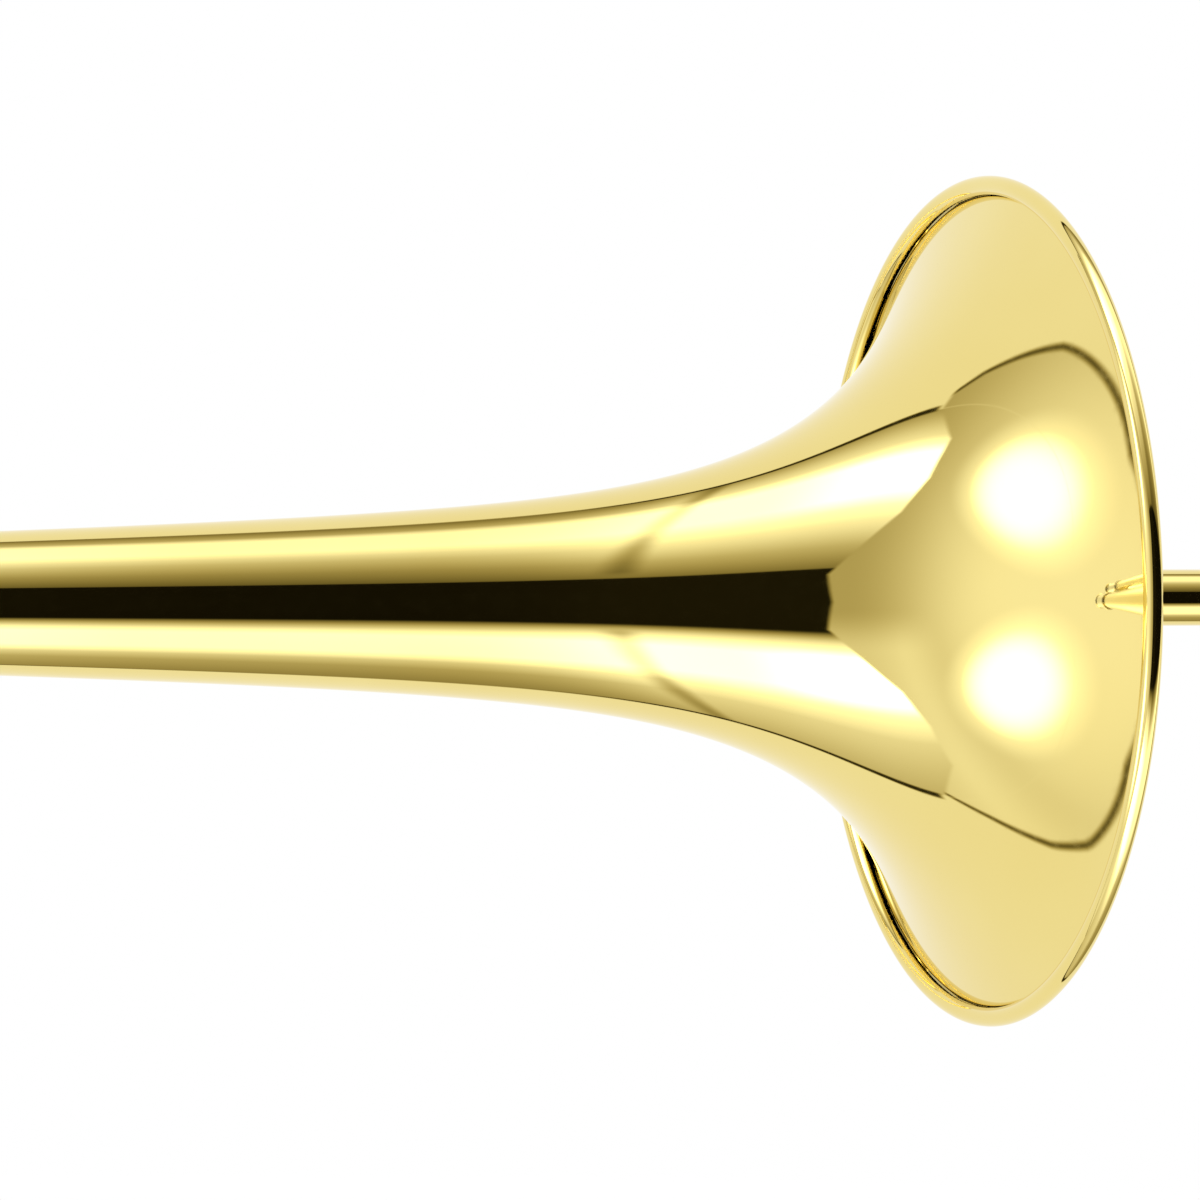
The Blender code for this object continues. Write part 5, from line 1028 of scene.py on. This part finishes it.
def make_tenon_and_nut():
    front = 0.0004 + COLLAR_LENGTH
    hole, neck = INNER_RADIUS + GAP, TENON_RADIUS + GAP
    at = Span("slide_tenon")
    tenon = [(at.back, INNER_BORE), (at.back, TENON_RADIUS - 0.0003), (0.0004, TENON_RADIUS)]
    tenon += [(0.0004, THREAD_RADIUS), (front, THREAD_RADIUS), (front, neck), (at.front, neck), (at.front, hole)]
    tenon += [(INNER_START - GAP, hole), (INNER_START - GAP, INNER_BORE)]
    dress(Form().lathe(tenon, at.base), "slide_tenon")

    at = Span("slide_lock_nut")
    thread, shoulder, edge = THREAD_RADIUS + TURN_GAP, front + TURN_GAP, at.radius
    nut = [(at.back, thread), (at.back, edge - 0.0008), (at.back + 0.0010, edge), (at.back + 0.0060, edge)]
    nut += [(at.back + 0.0066, edge - 0.0006), (at.back + 0.0074, edge - 0.0006), (at.back + 0.0080, edge)]
    nut += [(at.front - 0.0046, edge), (at.front - 0.0040, edge - 0.0007), (at.front - 0.0030, edge - 0.0007)]
    nut += [(at.front - 0.0024, edge - 0.0001), (at.front - 0.0008, edge - 0.0001), (at.front, edge - 0.0009)]
    nut += [(at.front, neck + TURN_GAP), (shoulder, neck + TURN_GAP), (shoulder, thread)]
    grip = (at.back + 0.0078, at.front - 0.0044, 0.0005, 64)
    dress(Form().lathe(nut, at.base, sides=512, grip=grip), "slide_lock_nut")


def make_inner_slide():
    for side in ("lower", "upper"):
        at = Span(f"{side}_cork_barrel")
        hole, floor, edge = INNER_RADIUS + GAP, at.back + BARREL_FLOOR, at.radius
        barrel = [(at.back, hole), (at.back, edge - 0.0014), (at.back + 0.0012, edge - 0.0012)]
        barrel += [(at.back + 0.0022, edge - 0.0002), (at.back + 0.0030, edge), (at.front - 0.0030, edge)]
        barrel += [(at.front - 0.0026, edge - 0.0003), (at.front - 0.0018, edge - 0.0003), (at.front - 0.0014, edge)]
        barrel += [(at.front, edge), (at.front, edge - BARREL_WALL), (floor, edge - BARREL_WALL), (floor, hole)]
        dress(Form().lathe(barrel, at.base), f"{side}_cork_barrel")
        at = Span(f"{side}_inner_tube")
        stocking, slim = at.front - STOCKING_LENGTH, at.radius - STOCKING_RISE
        tube = [(at.back, INNER_BORE), (at.back, slim), (stocking, slim), (stocking + 0.002, at.radius)]
        tube += [(at.front - 0.001, at.radius), (at.front, at.radius - 0.0002), (at.front, INNER_BORE)]
        dress(Form().lathe(tube, at.base, corner=0.0002), f"{side}_inner_tube")


def make_outer_slide():
    for side in ("lower", "upper"):
        make_tube(f"{side}_outer_tube", OUTER_WALL)
        at = Span(f"{side}_outer_tube")
        bore, edge, start = OUTER_RADIUS + GAP, TOP_SLEEVE_RADIUS, at.back
        end = start + TOP_SLEEVE_LENGTH
        sleeve = [(start, bore), (start, edge), (start + 0.0012, edge), (start + 0.0018, edge - 0.0004)]
        sleeve += [(start + 0.0026, edge - 0.0004), (start + 0.0032, edge), (end - 0.0080, edge)]
        sleeve += [(end - 0.0072, edge + 0.0006), (end - 0.0062, edge + 0.0009), (end - 0.0036, edge + 0.0009)]
        sleeve += [(end - 0.0024, edge), (end - 0.0008, bore + 0.0006), (end, bore + 0.0004), (end, bore)]
        form = Form().lathe(sleeve, at.base)
        if side == "lower":
            stud = rod_outline(bore, BARREL_RADIUS + TURN_GAP + LOCK_RING_WALL, STUD_RADIUS)
            form.lathe(stud, (STUD_X, 0, 0), Z_AXIS, SMALL_SIDES)
        dress(form, f"{side}_top_sleeve")

    half = SLIDE_SPAN / 2
    start = Span("lower_outer_tube").front - SLIDE_SOCKET
    collar = [(0.0, 0.0014), (0.0004, 0.0018), (0.0016, 0.0018), (0.0022, 0.0010), (0.0148, 0.0010), (0.0160, 0.0005)]
    collar += [(SLIDE_SOCKET + GAP, 0.0001)]
    line = Route((start, 0, 0), (1, 0, 0))
    for (a, _), (b, _) in zip(collar, collar[1:]):
        line.straight(b - a)
    straight = SLIDE_BOW_X - line.points[-1].x
    line.straight(straight).bend(half, math.pi, (0, 1, 0)).straight(straight)
    for (a, _), (b, _) in zip(collar[::-1], collar[::-1][1:]):
        line.straight(a - b)
    count, curve = len(collar), len(line.points) - 2 * len(collar)
    rises = [rise for _, rise in collar]
    radii = [OUTER_RADIUS + rise for rise in rises + [0] * curve + rises[::-1]]
    sockets = [OUTER_RADIUS + GAP] * (count - 1) + [OUTER_RADIUS - OUTER_WALL]
    bores = sockets + [OUTER_RADIUS - OUTER_WALL] * curve + sockets[::-1]
    dress(Form().pipe(line.points, radii, bores), "slide_bow")


def make_bumper():
    at = Span("bumper_holder")
    low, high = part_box("slide_bumper")
    edge, end = at.radius, at.front
    foot = end - 0.0085
    cup = [(foot, 0), (foot, edge - 0.0008), (foot + 0.0012, edge), (end - 0.0030, edge), (end - 0.0026, edge - 0.0004)]
    cup += [(end - 0.0018, edge - 0.0004), (end - 0.0014, edge), (end - 0.0005, edge), (end, edge - 0.0006), (end, 0)]
    dress(Form().lathe(cup, at.base), "bumper_holder")
    thick, tip = edge - 0.0008, high.x
    knob = [(low.x, 0), (low.x, thick), (tip - 0.0028, thick)]
    for k in range(1, 7):
        a = k / 6 * math.pi / 2
        knob.append((tip - 0.0028 * (1 - math.sin(a)), thick - 0.0028 * (1 - math.cos(a))))
    dress(Form().lathe(knob + [(tip, 0)], at.base, corner=0.0002), "slide_bumper")


def on_bow(angle):
    half = SLIDE_SPAN / 2
    return Vector((SLIDE_BOW_X + half * math.sin(angle), half * (1 - math.cos(angle)), 0))


def make_water_key():
    """The key is drawn with its pivot at the origin and its cup towards +X, then set on the bow."""
    spot, pivot = on_bow(NIPPLE_ANGLE), on_bow(KEY_PIVOT_ANGLE)
    along = (spot - pivot).normalized()
    reach = (spot - pivot).length
    across = Z_AXIS.cross(along)
    place = Matrix.Translation(pivot) @ Matrix((along, across, Z_AXIS)).transposed().to_4x4()
    top = OUTER_RADIUS + NIPPLE_HEIGHT
    height = top + 0.0016

    nipple = [(OUTER_RADIUS - 0.0012, 0.0018), (OUTER_RADIUS - 0.0012, NIPPLE_RADIUS + 0.0008)]
    nipple += [(OUTER_RADIUS + 0.0008, NIPPLE_RADIUS + 0.0004), (OUTER_RADIUS + 0.0014, NIPPLE_RADIUS - 0.0004)]
    nipple += [(top - 0.0010, NIPPLE_RADIUS - 0.0004), (top - 0.0006, NIPPLE_RADIUS), (top, NIPPLE_RADIUS), (top, 0.0018)]
    dress(Form().lathe(nipple, spot, Z_AXIS, 48, 0.0002), "water_key_nipple")

    inner = 0.0024
    outer = inner + 0.0012
    form = Form()
    for low, high in ((-outer, -inner), (inner, outer)):
        form.plate(((0, height), (0, OUTER_RADIUS - 0.0008)), (0.0024, 0.0030), low, high)
    form.lathe(rod_outline(0.0040, OUTER_RADIUS + 0.0010, 0.0036), axis=Z_AXIS, sides=SMALL_SIDES)
    dress(form.moved(place), "water_key_saddle", bevel=0.0002)

    end = outer + 0.0006
    pin = [(-end, 0), (-end, 0.0013), (-end + 0.0003, 0.0017), (-outer, 0.0017), (-outer, KEY_PIN_RADIUS)]
    pin += [(end, KEY_PIN_RADIUS), (end, 0)]
    dress(Form().lathe(pin, (0, 0, height), Y_AXIS, SMALL_SIDES, 0.0001).moved(place), "water_key_pin")

    width, thick, lift = inner - TURN_GAP, 0.0013, height + 0.0004
    form = Form().block((-0.0172, -0.62 * width, lift), (reach - 0.0013, 0.62 * width, lift + thick))
    form.lathe(tube_outline(-width, width, 0.0021, KEY_PIN_RADIUS + TURN_GAP), (0, 0, height), Y_AXIS, SMALL_SIDES)
    cup = [(lift - 0.0006, 0), (lift - 0.0006, NIPPLE_RADIUS + 0.0010), (lift + 0.0010, NIPPLE_RADIUS + 0.0010)]
    cup += [(lift + 0.0016, NIPPLE_RADIUS), (lift + 0.0016, 0)]
    form.lathe(cup, (reach, 0, 0), Z_AXIS, 48)
    paddle = [(lift - 0.0002, 0), (lift - 0.0002, 0.0040), (lift + 0.0004, 0.0044), (lift + 0.9 * thick, 0.0042)]
    form.lathe(paddle + [(lift + 0.5 * thick, 0.0010), (lift + 0.5 * thick, 0)], (-0.0190, 0, 0), Z_AXIS, 48)
    dress(form.moved(place), "water_key", bevel=0.0002)
    low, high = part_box("water_key_cork")
    dress(Form().lathe(rod_outline(low.z, high.z, NIPPLE_RADIUS), spot, Z_AXIS, 48, 0.0002), "water_key_cork")


def make_lock_ring():
    """The ring turns on the lower barrel. Its slot lets the stud on the outer slide out, or holds it once turned."""
    at = Span("slide_lock_ring")
    bore = BARREL_RADIUS + TURN_GAP
    edge, body, band = at.radius, bore + LOCK_RING_WALL, at.back + 0.006
    half = STUD_RADIUS + TURN_GAP
    wide = math.asin(half / bore)
    up, steps = math.pi / 2, 120
    grooves = (band - 0.0038, band - 0.0022)

    def outer_radius(x, turn):
        if x > band + 0.001:
            return body
        if x > band:
            return edge + (body - edge) * (x - band) / 0.001
        dip = 0.0004 * (0.5 - 0.5 * math.cos(turn * 40))
        return edge - dip if grooves[0] - 0.0012 < x < grooves[1] + 0.0012 else edge - 0.0002

    def solid(x, turn):
        inside_slot = abs(turn - up) < wide and x > STUD_X - half
        inside_notch = up - LOCK_TRAVEL - wide < turn < up + 0.01 and abs(x - STUD_X) < half
        return not (inside_slot or inside_notch)

    cuts = [up - LOCK_TRAVEL - wide, up - wide, up + wide, up + 0.01]
    turns = sorted({round(math.tau * j / steps, 6) for j in range(steps)} | {round(c, 6) for c in cuts})
    spots = [at.back, at.back + 0.0004, grooves[0] - 0.0011, grooves[0], grooves[1], grooves[1] + 0.0011, band - 0.0003]
    spots += [band, band + 0.001, STUD_X - half, STUD_X + half, at.front - 0.0004, at.front]
    shell = bmesh.new()
    known = {}

    def corner(x, turn, outside):
        key = (round(x, 7), round(turn, 7), outside)
        if key not in known:
            r = outer_radius(x, turn) if outside else bore
            if outside and x in (spots[0], spots[-1]):
                r -= 0.0003
            known[key] = shell.verts.new((x, r * math.cos(turn), r * math.sin(turn)))
        return known[key]

    cells = {}
    count = len(turns)
    for i, (x0, x1) in enumerate(zip(spots, spots[1:])):
        for j in range(count):
            t0, t1 = turns[j], turns[(j + 1) % count]
            middle = (t0 + (t1 if t1 > t0 else t1 + math.tau)) / 2
            cells[i, j] = solid((x0 + x1) / 2, middle)
    for (i, j), filled in cells.items():
        if not filled:
            continue
        x0, x1, t0, t1 = spots[i], spots[i + 1], turns[j], turns[(j + 1) % count]
        for outside in (True, False):
            shell.faces.new([corner(x0, t0, outside), corner(x1, t0, outside), corner(x1, t1, outside), corner(x0, t1, outside)])
        walls = (((i - 1, j), (x0, t0), (x0, t1)), ((i + 1, j), (x1, t0), (x1, t1)))
        walls += (((i, (j - 1) % count), (x0, t0), (x1, t0)), ((i, (j + 1) % count), (x0, t1), (x1, t1)))
        for beside, first, second in walls:
            if not cells.get(beside, False):
                shell.faces.new([corner(*first, True), corner(*second, True), corner(*second, False), corner(*first, False)])
    form = Form()
    form.mesh.free()
    form.mesh = shell
    dress(form, "slide_lock_ring")


# Mouthpiece

def shank_radius(x):
    return SHANK_TIP_RADIUS + SHANK_TAPER * (SHANK_TIP - x)


def make_mouthpiece_side():
    at = Span("mouthpiece_receiver")
    mouth, edge = at.back, CUP_RECEIVER_RADIUS
    hole, collar = INNER_RADIUS + GAP, BARREL_RADIUS - 0.0012
    outline = [(mouth, shank_radius(mouth) + GAP), (mouth, edge + 0.0008), (mouth + 0.0005, edge + 0.0012)]
    outline += [(mouth + 0.0030, edge + 0.0012), (mouth + 0.0038, edge + 0.0003), (mouth + 0.0050, edge)]
    outline += [(INNER_START - 0.0030, edge), (at.front - 0.0040, collar - 0.0006), (at.front - 0.0024, collar)]
    outline += [(at.front, collar), (at.front, hole), (INNER_START - GAP, hole), (INNER_START - GAP, INNER_BORE)]
    outline += [(SHANK_TIP + 0.002, INNER_BORE), (SHANK_TIP + 0.002, shank_radius(SHANK_TIP) + GAP)]
    dress(Form().lathe(outline, at.base), "mouthpiece_receiver")

    at = Span("mouthpiece")
    rim, outer = at.back, at.radius
    waist = rim + CUP_DEPTH + 0.010
    lip = (rim + 0.0021, outer - 0.0034)
    outline = []
    for k in range(13):
        a = math.pi * (0.5 + k / 12) - 0.5 * math.pi
        outline.append((lip[0] - 0.0021 * math.sin(a), lip[1] + 0.0034 * -math.cos(a)))
    outline += [(rim + 0.0036, outer - 0.0001), (rim + 0.0052, outer - 0.0012), (rim + 0.0066, outer - 0.0030)]
    outline += [(rim + 0.0110, outer - 0.0040), (rim + 0.0160, outer - 0.0056), (rim + 0.0210, outer - 0.0078)]
    outline += [(rim + 0.0255, outer - 0.0102), (waist - 0.0050, 0.0078), (waist - 0.0022, 0.0068), (waist, 0.0066)]
    outline += [(waist + 0.0010, 0.0072), (waist + 0.0018, 0.0084), (waist + 0.0046, 0.0084), (waist + 0.0054, 0.0074)]
    outline += [(waist + 0.0064, 0.0069), (waist + 0.0080, shank_radius(waist + 0.0080)), (SHANK_TIP, SHANK_TIP_RADIUS)]
    outline += [(SHANK_TIP, 0.0052), (rim + CUP_DEPTH + 0.008, THROAT_RADIUS), (rim + CUP_DEPTH + 0.001, THROAT_RADIUS)]
    for k in range(11, -1, -1):
        share = k / 12
        radius = THROAT_RADIUS + (CUP_INNER_RADIUS - THROAT_RADIUS) * (1 - share ** 2.4) ** 0.62
        outline.append((rim + 0.0018 + (CUP_DEPTH - 0.0018) * share, radius))
    dress(Form().lathe(outline, at.base, corner=0.0003), "mouthpiece")


bpy.context.scene.view_settings.view_transform = "Standard"
FINISHES = make_finishes()
for cad_name, cad_node in frame["nodes"].items():
    cad_node.material_slots[0].material = FINISHES[SLOT_OF[cad_name]]
make_world()
make_stage()
make_camera()

make_bell()
for sleeve_node in ("bell_tuning_sleeve", "neck_tuning_sleeve", "f_return_sleeve", "f_outer_sleeve"):
    make_sleeve(sleeve_node)
make_receiver()
make_neck()
make_braces()
make_valve()
make_stop_arm()
make_link()
make_lever()
make_f_tubes()
for leg_node in ("neck_slide_leg", "bell_slide_leg", "f_return_leg", "f_outer_leg"):
    make_tube(leg_node, TUBE_WALL)
make_bow("main_bow", MAIN_BOW_X, 0, (0, TUBE_RADIUS), (-BELL_OFFSET, BELL_TAIL_RADIUS))
make_bow("f_bow", F_BOW_X, F_HEIGHT, (VALVE.y, TUBE_RADIUS), (F_OUTER_Y, TUBE_RADIUS))
make_tenon_and_nut()
make_inner_slide()
make_lock_ring()
make_outer_slide()
make_bumper()
make_water_key()
make_mouthpiece_side()
